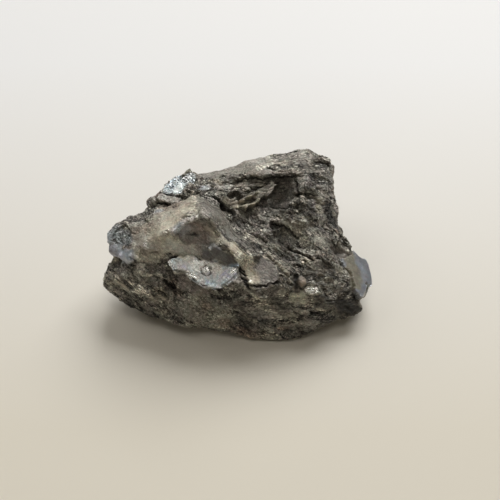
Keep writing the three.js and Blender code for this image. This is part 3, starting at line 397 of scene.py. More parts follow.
        ([(15.5, -15, 8), (19, -14.5, 5), (21.5, -14, 4)], 1.9, "black", 0.6, 0.1),
        # the flake
        ([(20.5, -3.5, 8), (21, -5.5, 7.5), (22, -7.5, 7), (22, -9.5, 6.5)], 1.9, "flakeTan", 0.95, 0.95),
        # a painted highlight down the middle of the flake
        ([(23, -5, 7), (24, -6.5, 6.5), (24, -8, 6)], 0.8, "paintedSlateSheen", 0.4, 0.95),
        ([(24.2, -9, 5.4)], 0.5, "dark", 0.9, 0.2),
        ([(25.4, -9.6, 4.6), (24.6, -11.4, 4.6), (23.6, -13, 4.4)], 0.9, "grey", 0.9, 0.3),
        ([(18, -5, 11), (19.5, -4, 8.5), (20.5, -3.5, 8)], 1.3, "purple", 0.8, 0.2),
        # painted sheen and painted highlights on the plates, and a painted blue reflection on the bright
        # metal
        ([(-1.5, -13, 14), (-0.5, -12.5, 14.3)], 1.7, "blueSilver", 0.9, 0.9),
        ([(-4, -15, 12.5), (-2, -14, 13)], 1.4, "blueSilver", 0.7, 0.9),
        ([(-13, -11.3, 14.4), (-12.2, -12.2, 14)], 0.9, "glint", 0.9, 0.95),
        ([(-9, -13, 13.4), (-8.2, -13.4, 13.4), (-7.6, -13.9, 13.4)], 0.8, "glint", 1.0, 0.95),
        ([(-0.9, -13, 14), (-0.6, -12.4, 14)], 0.6, "glint", 0.8, 0.95),
        ([(-7.6, -11.8, 14.4), (-6, -12.2, 14.4), (-3.6, -12.4, 14)], 1.2, "paintedSilverHighlight", 0.85, 0.9),
        ([(-5.5, -12.7, 14.2)], 0.85, "glint", 1.0, 0.9),
        ([(-5.4, -15, 12.8), (-3.8, -15.2, 12.4)], 0.7, "blueSilver", 0.9, 0.95),
        ([(-11.4, 4, 17.2), (-10.8, 4.6, 17.4)], 1.2, "paintedBlueReflection", 0.9, 0.9),
        # between the slots, and two small grains: a painted highlight on one, and a pale one
        ([(0.6, -12.4, 13.8), (1.6, -14, 12.8)], 0.9, "grey", 0.8, 0.2),
        ([(2.4, -14.2, 12.6)], 0.35, "glint", 0.7, 0.2),
        ([(4.4, -3.2, 14)], 0.4, "pale", 0.6, 0.2),
    ],
    "markWhole": 0.45,  # share of its reach over which a mark is whole
    "ragged": 0.45,  # how far a mark's edge wanders, as a share of its reach
    "raggedSize": 1.3,
    "toneAndPaintedShading": {
        "toneSize": 3.1, "tone": 0.25, "toneColour": (1.0, 0.9, 0.6),  # wide clouds of lighter and darker paint, at random
        "facetTone": 0.4,  # how far large facets differ in how light they are
        "facetCalm": 0.55, "markCalm": 0.6,  # grain taken from the smooth facets and from the calm marks
        "fineRounds": 6, "fineDepth": 0.12, "fineShare": 0.55,  # painted shade in small hollows
        "wideRounds": 60, "wideDepth": 0.45,  # painted shade in wide ones
        # the painted shade in the hollows: how far calm places lose it, how dark it is, how it dulls the
        # metal; and the painted highlight on the bumps
        "hollowShadeCalm": 0.85, "hollowShadeDark": 0.65, "hollowShadeDull": 0.5, "paintedEdgeHighlight": 0.15,
    },
}


# distances, steps and noise that the shaping and the painting use

def ease(low, high, value):
    # 0 below low, 1 above high, smooth between
    t = np.clip((value - low) / (high - low), 0, 1)
    return t * t * (3 - 2 * t)


def band(value, rising, falling):
    # 0 before rising, 1 between the two, 0 after falling
    return ease(*rising, value) * (1 - ease(*falling, value))


def unit(vector):
    return np.array(vector, float) / np.linalg.norm(vector)


def softNoise(points, size, shift=0.0):
    # one smooth number from -1 to 1 for each point; another shift gives another pattern
    return np.array([noise.noise(place) for place in (points / size + shift).tolist()])


def segmentDistance(points, start, end):
    run = end - start
    t = np.clip((points - start) @ run / max(run @ run, 1e-12), 0, 1)
    return np.linalg.norm(points - start - t[:, None] * run, axis=1)


def nearPath(points, path, reach):
    # the numbers of the points in the box around a path
    low, high = path.min(axis=0) - reach, path.max(axis=0) + reach
    return np.nonzero(((points > low) & (points < high)).all(axis=1))[0]


def spot(points, path, reach, whole=0.3, end=1.0, wander=0.0):
    # 1 on a path, fading out to 0; whole and end are shares of the reach
    near = nearPath(points, path, reach * 1.5)
    distance = np.full(len(points), np.inf)
    for start, stop in zip(path[:-1], path[1:]):
        distance[near] = np.minimum(distance[near], segmentDistance(points[near], start, stop))
    return 1 - ease(whole, end, distance / reach + wander)


def outlineDistance(points, outline):
    # distance to a closed outline seen from above, above 0 inside it
    outline = np.array(outline, float)
    flat = points[:, :2]
    distance = np.full(len(points), np.inf)
    inside = np.zeros(len(points), bool)
    for start, end in zip(outline, np.roll(outline, -1, axis=0)):
        distance = np.minimum(distance, segmentDistance(flat, start, end))
        rise = end[1] - start[1] or 1e-9
        crossing = start[0] + (flat[:, 1] - start[1]) / rise * (end[0] - start[0])
        inside ^= ((start[1] > flat[:, 1]) != (end[1] > flat[:, 1])) & (flat[:, 0] < crossing)
    return np.where(inside, distance, -distance)


def layOn(tree, path):
    # a polyline laid on the skin, with a point at every step along it
    path = np.array(path, float)
    laid = [path[0]]
    for start, end in zip(path[:-1], path[1:]):
        steps = max(1, round(np.linalg.norm(end - start) / specimen["patternStep"]))
        laid += [start + (end - start) * step / steps for step in range(1, steps + 1)]
    laid = np.array([tree.find(place)[0] for place in laid])
    return laid if len(laid) > 1 else np.vstack([laid, laid + 1e-4])


def readVectors(mesh, kind):
    flat = np.zeros(len(mesh.vertices) * 3)
    mesh.vertices.foreach_get(kind, flat)
    return flat.reshape(-1, 3)


def makeTree(points):
    tree = kdtree.KDTree(len(points))
    for index, place in enumerate(points.tolist()):
        tree.insert(place, index)
    tree.balance()
    return tree


def triangleCount(mesh):
    return sum(len(face.vertices) - 2 for face in mesh.polygons)


def modifiedMesh(thing):
    return bpy.data.meshes.new_from_object(thing.evaluated_get(bpy.context.evaluated_depsgraph_get()))


# the fine skin that the detail is worked into

def dropFragments(bm):
    # deletes loose bits, so that the skin is one closed surface
    left = set(bm.verts)
    largest = set()
    while left:
        reached = {left.pop()}
        frontier = list(reached)
        while frontier:
            vert = frontier.pop()
            fresh = {edge.other_vert(vert) for edge in vert.link_edges} - reached
            reached |= fresh
            frontier += fresh
        left -= reached
        largest = max(largest, reached, key=len)
    bmesh.ops.delete(bm, geom=[vert for vert in bm.verts if vert not in largest], context="VERTS")


def fineSkin(node):
    source = node.data.copy()
    bm = bmesh.new()
    bm.from_mesh(source)
    bmesh.ops.remove_doubles(bm, verts=bm.verts, dist=1e-6)
    bm.to_mesh(source)
    bm.free()
    coarse = bpy.data.objects.new("coarse", source)
    scene.collection.objects.link(coarse)
    remesh = coarse.modifiers.new("evenGrid", "REMESH")
    remesh.mode = "VOXEL"
    remesh.voxel_size = specimen["voxel"] * mm
    mesh = modifiedMesh(coarse)
    bpy.data.objects.remove(coarse)
    bm = bmesh.new()
    bm.from_mesh(mesh)
    dropFragments(bm)
    for _ in range(specimen["soften"]):
        bmesh.ops.smooth_vert(bm, verts=bm.verts, factor=0.5,
                              use_axis_x=True, use_axis_y=True, use_axis_z=True)
    bm.to_mesh(mesh)
    bm.free()
    mesh.name = "specimenSkin"
    mesh.materials.clear()
    skin = bpy.data.objects.new("specimenSkin", mesh)
    scene.collection.objects.link(skin)
    return skin


def thinHidden(skin):
    # the underside, and then the side away from the front, give up triangles first
    mesh = skin.data
    thinning = specimen["thinning"]
    under = readVectors(mesh, "co")[:, 2] / mm < thinning["under"]
    behind = ~under & (readVectors(mesh, "normal") @ unit(thinning["front"]) < thinning["turnedAway"])
    hidden = skin.vertex_groups.new(name="hidden")
    hidden.add(np.nonzero(under)[0].tolist(), 1.0, "REPLACE")
    hidden.add(np.nonzero(behind)[0].tolist(), thinning["behindWeight"], "REPLACE")
    thin = skin.modifiers.new("thinHidden", "DECIMATE")
    thin.ratio = min(1, thinning["triangles"] / triangleCount(mesh))
    thin.vertex_group = "hidden"
    skin.data = modifiedMesh(skin)
    skin.modifiers.clear()
    skin.vertex_groups.clear()
    bpy.data.meshes.remove(mesh)
    skin.data.name = "specimenSkin"


# the broken grain, the edges and the plates

def chips(points, size, grain, shift):
    # flat facets, each leaning its own way, with small steps and seams between them,
    # and two numbers of each facet's own
    step, seamWidth = specimen["chipStep"], specimen["chipSeam"]
    along = unit(grain["along"])
    squeezed = points + (points @ along)[:, None] * along * (1 / grain["stretch"] - 1)
    height, own = np.zeros(len(points)), np.zeros((len(points), 2))
    for i, place in enumerate((squeezed / size + shift).tolist()):
        distances, seeds = noise.voronoi(place)
        seed = seeds[0]  # scaled in two ways, it draws the facet's lean and its other numbers
        lean = noise.cell_vector(seed * 57.0)
        away = Vector(place) - seed
        facet = (lean.x - 0.5) * away.x + (lean.y - 0.5) * away.y + (lean.z - 0.5) * away.z
        dice = noise.cell_vector(seed * 91.0)
        seam = seamWidth * max(0.0, 1 - (distances[1] - distances[0]) / seamWidth)
        height[i] = 2 * (facet + step * (dice.x - 0.5)) - seam
        own[i] = dice.y, dice.z
    return height, own


def grainShares(points, tree):
    shares = {}
    for name, areas in specimen["grainAreas"].items():
        share = np.zeros(len(points))
        for path, reach in areas:
            share = np.maximum(share, spot(points, layOn(tree, path), reach, *specimen["grainFade"]))
        shares[name] = share
    shares["broken"] = 1 - np.clip(sum(shares.values()), 0, 1)
    return shares


def grainRelief(points, shares):
    # the relief, and for each facet how smooth it is and how light it is
    relief, smooth, light = np.zeros((3, len(points)))
    for number, (name, share) in enumerate(shares.items()):
        used = np.nonzero(share > 0.01)[0]
        rough = np.ones(len(used))
        for size, height in specimen["chips"]:
            facets, own = chips(points[used], size, specimen["grains"][name], 3 + 8 * number)
            relief[used] += share[used] * height * rough * facets
            if size > specimen["facetSize"]:
                even = ease(*specimen["smoothFacets"], own[:, 0])
                smooth[used] = np.maximum(smooth[used], share[used] * even)
                light[used] += share[used] * (own[:, 1] - 0.5)
                rough -= specimen["smoothLoss"] * even
    return relief, smooth, light


def scarp(points, normals, path, reach, height, gap):
    # a step up on the left of the path, fading out over the reach, with a narrow gap on its right
    near = nearPath(points, path, reach)
    distance = np.full(len(near), np.inf)
    left = np.zeros(len(near))
    for start, end in zip(path[:-1], path[1:]):
        run = end - start
        length = np.linalg.norm(run)
        if length < 1e-6:
            continue
        away = points[near] - start
        t = np.clip(away @ run / length ** 2, 0, 1)
        away -= t[:, None] * run
        here = np.linalg.norm(away, axis=1)
        closer = here < distance
        distance[closer] = here[closer]
        side = (np.cross(normals[near], run / length) * away).sum(axis=1)
        left[closer] = side[closer]
    for size, pitch, way in specimen["scarpWaves"]:
        left = left + size * np.sin(pitch * points[near] @ way)
    fade = 1 - ease(*specimen["scarpFade"], distance / reach)
    rise = height * ease(*specimen["scarpRise"], left) * fade
    slit = band(left, *specimen["scarpGap"]) * fade
    return near, rise - gap * slit, slit


def strewnPath(points, normals, tree, shares, dice, length):
    # a short path at a random place, running with the grain it lies in
    at = dice.integers(len(points))
    weights = [share[at] for share in shares.values()]
    grain = specimen["grains"][list(shares)[int(np.argmax(weights))]]
    run = unit(grain["along"]) + specimen["pathTurn"] * dice.normal(size=3)
    run -= run @ normals[at] * normals[at]
    run = unit(run) * length * dice.choice([-1, 1])
    middle = points[at] + specimen["pathBend"] * dice.normal(size=3)
    return layOn(tree, [points[at] - run / 2, middle, points[at] + run / 2])


def strewnScarps(points, normals, tree, shares):
    strewn = specimen["strewn"]
    dice = np.random.default_rng(strewn["seed"])
    found = []
    for _ in range(strewn["count"]):
        path = strewnPath(points, normals, tree, shares, dice, dice.uniform(*strewn["length"]))
        height = dice.uniform(*strewn["height"])
        found.append((path, strewn["reach"], height, dice.uniform(*strewn["gap"])))
    return found


def mottleStains(points, normals, tree, shares):
    # small clouds of other finishes, each as the share of it that a point has
    mottled = specimen["mottles"]
    dice = np.random.default_rng(mottled["seed"])
    found = []
    for _ in range(mottled["count"]):
        path = strewnPath(points, normals, tree, shares, dice, dice.uniform(*mottled["length"]))
        reach = dice.uniform(*mottled["reach"])
        finish = str(dice.choice(mottled["finishes"]))
        found.append((spot(points, path, reach) * dice.uniform(*mottled["strength"]), finish))
    return found


def layMarks(points, tree, calm):
    # the marks, each as the share of it that a point has; they calm the grain under them
    wander = specimen["ragged"] * softNoise(points, specimen["raggedSize"], 31)
    found = []
    for path, reach, finish, strength, stillness in specimen["marks"]:
        share = spot(points, layOn(tree, path), reach, specimen["markWhole"], wander=wander)
        found.append((share * strength, finish))
        calm[:] = np.maximum(calm, share * stillness)
    return found


def plateShares(points, calm):
    # for each plate, how much of it a point is, and how far the ground beside it drops; plates calm the grain
    wander = sum(far * softNoise(points, size, shift) for far, size, shift in specimen["plateWander"])
    found = []
    for plate in specimen["plates"]:
        above = (points - plate["at"]) @ unit(plate["facing"])
        close = np.abs(above) < specimen["plateReach"]
        edge = outlineDistance(points, plate["outline"]) + wander
        share = np.where(close, ease(*specimen["plateEdge"], edge), 0)
        lip = np.where(close & (edge < 0), 1 - ease(0, specimen["plateLipWidth"], -edge), 0)
        found.append((share, lip * specimen["plateLip"] * plate.get("lip", 1)))
        calm[:] = np.maximum(calm, share * plate.get("flat", 1) * specimen["plateCalm"])
    return found


def breakEdges(points, normals, scarps, relief, gapShade):
    for path, reach, height, gap in scarps:
        near, change, slit = scarp(points, normals, path, reach, height, gap)
        relief[near] += change
        gapShade[near] = np.maximum(gapShade[near], slit * min(1, 2 * gap))


def cutSlots(points, tree, relief):
    # a row of short slots, each as the share of it that a point has
    slots = specimen["slots"]
    found = []
    for top in np.linspace(slots["start"], slots["end"], slots["count"]):
        share = spot(points, layOn(tree, [top, top + slots["run"]]), slots["width"], slots["whole"])
        relief -= slots["depth"] * share
        found.append((share, "black"))
    return found


def flattenPlates(points, normals, plates, shaped):
    # a plate is a stack of thin sheets, each broken back a little further than the one below
    sheets = np.round(specimen["sheetCount"] * softNoise(points, specimen["sheetSize"], 41))
    sheets = specimen["sheetHeight"] * sheets
    sheets += specimen["sheetWave"] * softNoise(points, specimen["sheetWaveSize"], 47)
    anyPlate = np.max([share for share, lip in plates], axis=0)
    for plate, (share, lip) in zip(specimen["plates"], plates):
        facing = unit(plate["facing"])
        height = (shaped - plate["at"]) @ facing - sheets * plate.get("sheets", 1)
        shaped -= facing * (height * share * plate.get("flat", 1))[:, None]
        shaped -= normals * (lip * (1 - anyPlate))[:, None]


def raiseBosses(points, normals, shaped):
    # domes, each in a sunken ring that is painted dark
    wander = specimen["bossWander"] * softNoise(points, specimen["bossWanderSize"], 3)
    found = []
    for centre, radius, rise, sink in specimen["bosses"]:
        away = np.linalg.norm(points - centre, axis=1) / radius + wander
        ring = band(away, *specimen["bossRing"])
        shaped += normals * (rise * np.clip(1 - away ** 2, 0, 1) - sink * ring)[:, None]
        found.append((specimen["bossDark"] * band(away, *specimen["bossPaint"]), "dark"))
    return found


def keepInBox(points):
    # draws points near the sides and top of the box gently inwards, and lays the foot on the floor
    low, high = np.array(cadBox) / mm
    soft = specimen["boxEdge"]
    for axis, wall, way in ((0, high, 1), (1, high, 1), (2, high, 1), (0, low, -1), (1, low, -1)):
        inner = wall[axis] - way * soft
        over = (points[:, axis] - inner) * way
        drawn = inner + way * soft * np.tanh(over / soft)
        points[:, axis] = np.where(over > 0, drawn, points[:, axis])
    points[:, 2] = np.maximum(points[:, 2], 0)
    return points


def shapeSkin(skin):
    mesh = skin.data
    points, normals = readVectors(mesh, "co") / mm, readVectors(mesh, "normal")
    tree = makeTree(points)
    shares = grainShares(points, tree)
    stains = mottleStains(points, normals, tree, shares)
    calm, gapShade = np.zeros((2, len(points)))
    marks = layMarks(points, tree, calm)
    plates = plateShares(points, calm)
    relief, smooth, light = grainRelief(points, shares)
    relief += specimen["roughHeight"] * softNoise(points, specimen["roughSize"])
    breakEdges(points, normals, strewnScarps(points, normals, tree, shares), relief, gapShade)
    relief *= 1 - calm
    gapShade *= 1 - calm
    scarps = [(layOn(tree, path), *sizes) for path, *sizes in specimen["scarps"]]
    breakEdges(points, normals, scarps, relief, gapShade)
    # painted shade: the gaps under the steps are painted black
    marks.append((specimen["gapPaintedShade"] * gapShade, "black"))
    for path, width, height in specimen["relief"]:
        relief += height * spot(points, layOn(tree, path), width)
    marks += cutSlots(points, tree, relief)
    aboveFoot = ease(0.05, specimen["footBand"], points[:, 2])
    shaped = points + normals * (relief * aboveFoot)[:, None]
    flattenPlates(points, normals, plates, shaped)
    marks += raiseBosses(points, normals, shaped)
    for path, width, height in specimen["trims"]:
        shaped += normals * (height * spot(points, layOn(tree, path), width))[:, None]
    mesh.vertices.foreach_set("co", (keepInBox(shaped) * mm).ravel())
    mesh.update()
    return {"points": points, "stains": stains, "marks": marks, "plates": plates, "shares": shares,
            "calm": calm, "smooth": smooth, "light": light}


# the paint: eight columns for each point, laid over each other finish by finish

def finishRow(name):
    colour, *rest = specimen["finishes"][name]
    return np.array([*colour, *rest])


def smoothed(mesh, values, rounds):
    # values averaged with their neighbours along the edges
    ends = np.zeros(len(mesh.edges) * 2, int)
    mesh.edges.foreach_get("vertices", ends)
    first, second = ends[::2], ends[1::2]
    count = np.bincount(ends, minlength=len(mesh.vertices))
    for _ in range(rounds):
        total = np.stack([np.bincount(first, column[second], len(column))
                          + np.bincount(second, column[first], len(column)) for column in values.T], axis=1)
        values = 0.5 * values + 0.5 * total / count[:, None]
    return values


def hollows(mesh, rounds):
    # how far the skin lies below its own average, below 0 on the bumps
    shaped = readVectors(mesh, "co") / mm
    return ((smoothed(mesh, shaped, rounds) - shaped) * readVectors(mesh, "normal")).sum(axis=1)


def addAttribute(mesh, name, columns):
    layer = mesh.attributes.new(name, "FLOAT_COLOR", "POINT")
    layer.data.foreach_set("color", np.column_stack(columns).ravel())


def paintSkin(skin, points, stains, marks, plates, shares, calm, smooth, light):
    mesh = skin.data
    toneAndPaintedShading = specimen["toneAndPaintedShading"]
    metal, grain, speck = 3, 5, 7  # columns, after the three of the colour
    paint = np.tile(finishRow("ore"), (len(points), 1))
    tone = softNoise(points, toneAndPaintedShading["toneSize"], 17)
    paint[:, :3] *= 1 + toneAndPaintedShading["tone"] * tone[:, None] * np.array(toneAndPaintedShading["toneColour"])
    paint[:, :3] *= (1 + toneAndPaintedShading["facetTone"] * light)[:, None]
    paint[:, [grain, speck]] *= ((1 - toneAndPaintedShading["facetCalm"] * smooth) * (1 - toneAndPaintedShading["markCalm"] * calm))[:, None]
    for share, finish in stains:
        paint[:, :grain] += share[:, None] * (finishRow(finish)[:grain] - paint[:, :grain])
    for plate, (share, lip) in zip(specimen["plates"], plates):
        paint += (share * plate.get("paint", 1))[:, None] * (finishRow(plate["finish"]) - paint)
    for share, finish in marks:
        paint += share[:, None] * (finishRow(finish) - paint)
    # painted shade in the hollows, and painted highlights on the bumps and edges
    fine, wide = hollows(mesh, toneAndPaintedShading["fineRounds"]), hollows(mesh, toneAndPaintedShading["wideRounds"])
    hollowShade = np.clip(fine / toneAndPaintedShading["fineDepth"], 0, 1) * toneAndPaintedShading["fineShare"]
    hollowShade += np.clip(wide / toneAndPaintedShading["wideDepth"], 0, 1) * (1 - toneAndPaintedShading["fineShare"])
    hollowShade *= 1 - toneAndPaintedShading["hollowShadeCalm"] * calm
    paint[:, :3] *= (1 - toneAndPaintedShading["hollowShadeDark"] * hollowShade)[:, None]
    paint[:, :3] *= (1 + toneAndPaintedShading["paintedEdgeHighlight"] * np.clip(-fine / toneAndPaintedShading["fineDepth"], 0, 1))[:, None]
    paint[:, metal] *= 1 - toneAndPaintedShading["hollowShadeDull"] * hollowShade
    addAttribute(mesh, "tint", [paint[:, :3], paint[:, speck]])
    addAttribute(mesh, "look", [paint[:, metal:speck]])
    addAttribute(mesh, "runs", [shares["fibre"], shares["stroke"], shares["broken"], np.ones(len(points))])


# the finish: grainSize and bumpDepth in millimetres, the rest in grains or as factors

oreLook = {
    "grainSize": 0.38, "bumpDepth": 0.2,
    "facetLean": 1.8, "facetShade": 0.55,
    "seamWidth": 0.14, "seamDepth": 0.5, "seamShade": 0.45,
    "crackStretch": (0.45, 1.1, 1.1), "crackLine": (0.40, 0.46), "crackGaps": (0.35, 0.55),
    "crackDepth": 1.5, "crackShade": 0.9,
    "shadeFrom": (0.25, 1.0), "shadeTo": (0.15, 2.2),
    # noises: scale, detail, roughness, distortion
    "grainNoise": (1.7, 4, 0.65), "crackNoise": (1.0, 3, 0.6, 0.4), "gapNoise": (0.2, 2),
    "filmNoise": (0.75, 5, 0.7), "bloomNoise": (0.55, 3, 0.5, 0.6),
    # warm and green-grey clouds on the ore
    "film": [(0.30, (0.66, 0.65, 0.66)), (0.45, (1.03, 0.97, 0.92)), (0.55, (0.95, 1.0, 0.94)),
             (0.70, (1.4, 1.36, 1.28))],
    # pink to blue-green bloom on the metal
    "bloom": [(0.32, (0.85, 0.80, 0.95)), (0.42, (1.1, 0.98, 0.92)), (0.5, (1.0, 1.0, 0.92)),
              (0.58, (0.86, 1.02, 1.0)), (0.68, (0.86, 0.92, 1.15))],
    # dark pits and bright flecks
    "fleckScale": 3.6,
    "flecks": [(0.0, 0.08), (0.22, 0.2), (0.32, 0.95), (0.8, 1.05), (0.9, 1.9), (1.0, 2.8)],
}


def addNode(tree, kind, values=None, **settings):
    # values go to inputs by name or number, as plain values or as links from other nodes' outputs
    node = tree.nodes.new(kind)
    for name, value in settings.items():
        setattr(node, name, value)
    for name, value in (values or {}).items():
        if isinstance(value, bpy.types.NodeSocket):
            tree.links.new(value, node.inputs[name])
        else:
            node.inputs[name].default_value = value
    return node


def maths(tree, operation, *values):
    return addNode(tree, "ShaderNodeMath", dict(enumerate(values)), operation=operation).outputs["Value"]


def vectorMaths(tree, operation, *values, answer="Vector"):
    node = addNode(tree, "ShaderNodeVectorMath", dict(enumerate(values)), operation=operation)
    return node.outputs[answer]


def scaleBy(tree, vector, factor):
    node = addNode(tree, "ShaderNodeVectorMath", {0: vector, "Scale": factor}, operation="SCALE")
    return node.outputs["Vector"]


def mapRange(tree, *values):
    # value, from low, from high, to low, to high
    return addNode(tree, "ShaderNodeMapRange", dict(enumerate(values))).outputs["Result"]


def mapPlace(tree, place, **values):
    return addNode(tree, "ShaderNodeMapping", {"Vector": place, **values}).outputs["Vector"]


def noiseField(tree, place, scale, detail, roughness=0.5, distortion=0.0):
    values = {"Vector": place, "Scale": scale, "Detail": detail, "Roughness": roughness,
              "Distortion": distortion}
    return addNode(tree, "ShaderNodeTexNoise", values).outputs["Fac"]


def splitColour(tree, colour):
    return addNode(tree, "ShaderNodeSeparateColor", {"Color": colour}).outputs


def rampColour(tree, value, stops):
    node = addNode(tree, "ShaderNodeValToRGB", {"Fac": value})
    ramp = node.color_ramp
    while len(ramp.elements) > 1:
        ramp.elements.remove(ramp.elements[-1])
    for number, (place, colour) in enumerate(stops):
        stop = ramp.elements[0] if number == 0 else ramp.elements.new(place)
        stop.position = place
        stop.color = (*colour, 1)
    return node.outputs["Color"]


def blend(tree, factor, first, second):
    return addNode(tree, "ShaderNodeMix", {"Factor": factor, "A": first, "B": second}).outputs["Result"]


def startGroup(name, takes, gives):
    group = bpy.data.node_groups.new(name, "ShaderNodeTree")
    for way, sockets in (("INPUT", takes), ("OUTPUT", gives)):
        for label, kind in sockets.items():
            group.interface.new_socket(label, in_out=way, socket_type="NodeSocket" + kind)
    return group, group.nodes.new("NodeGroupInput").outputs, group.nodes.new("NodeGroupOutput").inputs


def useGroup(tree, group, **values):
    return addNode(tree, "ShaderNodeGroup", values, node_tree=group).outputs


def brokenGrain():
    # leaning facets with dark seams, for bump and for shade
    gives = {"Height": "Float", "Shade": "Float"}
    group, start, end = startGroup("brokenGrain", {"Place": "Vector"}, gives)
    at = {"Vector": start["Place"], "Scale": 1.0}
    cells = addNode(group, "ShaderNodeTexVoronoi", at).outputs
    away = vectorMaths(group, "SUBTRACT", start["Place"], cells["Position"])
    lean = vectorMaths(group, "SUBTRACT", cells["Color"], (0.5, 0.5, 0.5))
    facet = vectorMaths(group, "DOT_PRODUCT", away, lean, answer="Value")
    fine = noiseField(group, start["Place"], *oreLook["grainNoise"])
    height = maths(group, "MULTIPLY_ADD", facet, oreLook["facetLean"], fine)
    edge = addNode(group, "ShaderNodeTexVoronoi", at, feature="DISTANCE_TO_EDGE").outputs["Distance"]
    seam = mapRange(group, edge, 0.0, oreLook["seamWidth"], 0.0, 1.0)
    group.links.new(maths(group, "MULTIPLY_ADD", seam, oreLook["seamDepth"], height), end["Height"])
    # each facet has its own shade, broken up by the fine noise, and is dark along its seams
    own = splitColour(group, cells["Color"])["Blue"]
    mixed = maths(group, "MULTIPLY_ADD", own, oreLook["facetShade"], fine)
    seamShade = mapRange(group, seam, 0.0, 1.0, oreLook["seamShade"], 1.0)
    group.links.new(maths(group, "MULTIPLY", mixed, seamShade), end["Shade"])
    return group


def cracks():
    # thin broken lines between larger pieces, as a depth
    group, start, end = startGroup("cracks", {"Place": "Vector"}, {"Depth": "Float"})
    drawn = mapPlace(group, start["Place"], Scale=oreLook["crackStretch"])
    wave = noiseField(group, drawn, *oreLook["crackNoise"])
    line = mapRange(group, wave, *oreLook["crackLine"], 1.0, 0.0)
    cloud = noiseField(group, start["Place"], *oreLook["gapNoise"])
    opened = mapRange(group, cloud, *oreLook["crackGaps"], 0.0, 1.0)
    group.links.new(maths(group, "MULTIPLY", line, opened), end["Depth"])
    return group


def tarnish():
    # a thin film: clouds on the ore, bloom on the metal
    group, start, end = startGroup("tarnish", {"Place": "Vector", "Bloom": "Float"}, {"Colour": "Color"})
    film = rampColour(group, noiseField(group, start["Place"], *oreLook["filmNoise"]), oreLook["film"])
    bloom = rampColour(group, noiseField(group, start["Place"], *oreLook["bloomNoise"]), oreLook["bloom"])
    mixed = addNode(group, "ShaderNodeMix", {"Factor": start["Bloom"], 6: film, 7: bloom}, data_type="RGBA")
    group.links.new(mixed.outputs[2], end["Colour"])
    return group


def specks():
    # fine dark pits and bright flecks, as a factor on the colour
    group, start, end = startGroup("specks", {"Place": "Vector", "Amount": "Float"}, {"Factor": "Float"})
    at = {"Vector": start["Place"], "Scale": oreLook["fleckScale"]}
    cells = addNode(group, "ShaderNodeTexVoronoi", at).outputs
    stops = [(place, (factor,) * 3) for place, factor in oreLook["flecks"]]
    fleck = rampColour(group, splitColour(group, cells["Color"])["Red"], stops)
    group.links.new(blend(group, start["Amount"], 1.0, fleck), end["Factor"])
    return group


def oreMaterial():
    ore = bpy.data.materials.new("oreSkin")
    ore.use_nodes = True
    tree = ore.node_tree
    shader = tree.nodes["Principled BSDF"]
    place = tree.nodes.new("ShaderNodeTexCoord").outputs["Object"]
    tint, look, runs = [addNode(tree, "ShaderNodeAttribute", attribute_name=name).outputs
                        for name in ("tint", "look", "runs")]
    metal, rough, grainAmount = list(splitColour(tree, look["Color"]))[:3]
    runParts = splitColour(tree, runs["Color"])
    grainGroup, crackGroup = brokenGrain(), cracks()
    height = shade = crack = 0.0
    for name, channel in (("broken", "Blue"), ("fibre", "Red"), ("stroke", "Green")):
        grain = specimen["grains"][name]
        turn = Vector(grain["along"]).normalized().to_track_quat("X", "Z").inverted().to_euler()
        across = 1 / (oreLook["grainSize"] * mm)
        turned = mapPlace(tree, place, Rotation=turn)
        scaled = mapPlace(tree, turned, Scale=(across / grain["stretch"], across, across))
        pattern = useGroup(tree, grainGroup, Place=scaled)
        lines = useGroup(tree, crackGroup, Place=scaled)
        height = maths(tree, "MULTIPLY_ADD", pattern["Height"], runParts[channel], height)
        shade = maths(tree, "MULTIPLY_ADD", pattern["Shade"], runParts[channel], shade)
        crack = maths(tree, "MULTIPLY_ADD", lines["Depth"], runParts[channel], crack)
    # base colour: the painted tint, lighter and darker grain by grain
    spread = mapRange(tree, shade, *oreLook["shadeFrom"], *oreLook["shadeTo"])
    calmed = blend(tree, grainAmount, 1.0, spread)
    # cracks sink the bump and darken the colour, less where the skin is calm
    crackShare = maths(tree, "MULTIPLY", crack, grainAmount)
    sunk = maths(tree, "MULTIPLY_ADD", crackShare, -oreLook["crackDepth"], height)
    darkened = maths(tree, "MULTIPLY_ADD", crackShare, -oreLook["crackShade"], 1.0)
    inMillimetres = mapPlace(tree, place, Scale=(1 / mm, 1 / mm, 1 / mm))
    film = useGroup(tree, tarnish(), Place=inMillimetres, Bloom=look["Alpha"])["Colour"]
    flecks = useGroup(tree, specks(), Place=inMillimetres, Amount=tint["Alpha"])["Factor"]
    filmed = vectorMaths(tree, "MULTIPLY", tint["Color"], film)
    colour = scaleBy(tree, scaleBy(tree, filmed, flecks), maths(tree, "MULTIPLY", calmed, darkened))
    bump = addNode(tree, "ShaderNodeBump", {"Distance": oreLook["bumpDepth"] * mm, "Strength": grainAmount,
                                            "Height": sunk})
    for name, output in (("Base Color", colour), ("Metallic", metal), ("Roughness", rough),
                         ("Normal", bump.outputs["Normal"])):
        tree.links.new(output, shader.inputs[name])
    return ore


skin = fineSkin(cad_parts[nodeName])
thinHidden(skin)
print("fine skin:", len(skin.data.vertices), "points,", triangleCount(skin.data), "triangles")
paintSkin(skin, **shapeSkin(skin))
skin.data.materials.append(oreMaterial())
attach(skin, "root")
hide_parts(nodeName)
print("specimen shaped and painted")


# the floor, for the stage only

floorLook = {
    "size": 2.4,
    # painted light: the floor is painted lighter and cooler towards the window at the back, darker and warmer
    # towards the front
    "back": (0.857, 0.858, 0.86), "backAt": 0.06,
    "front": (0.76, 0.713, 0.61), "frontAt": -0.038,
    "roughness": 0.6,
}


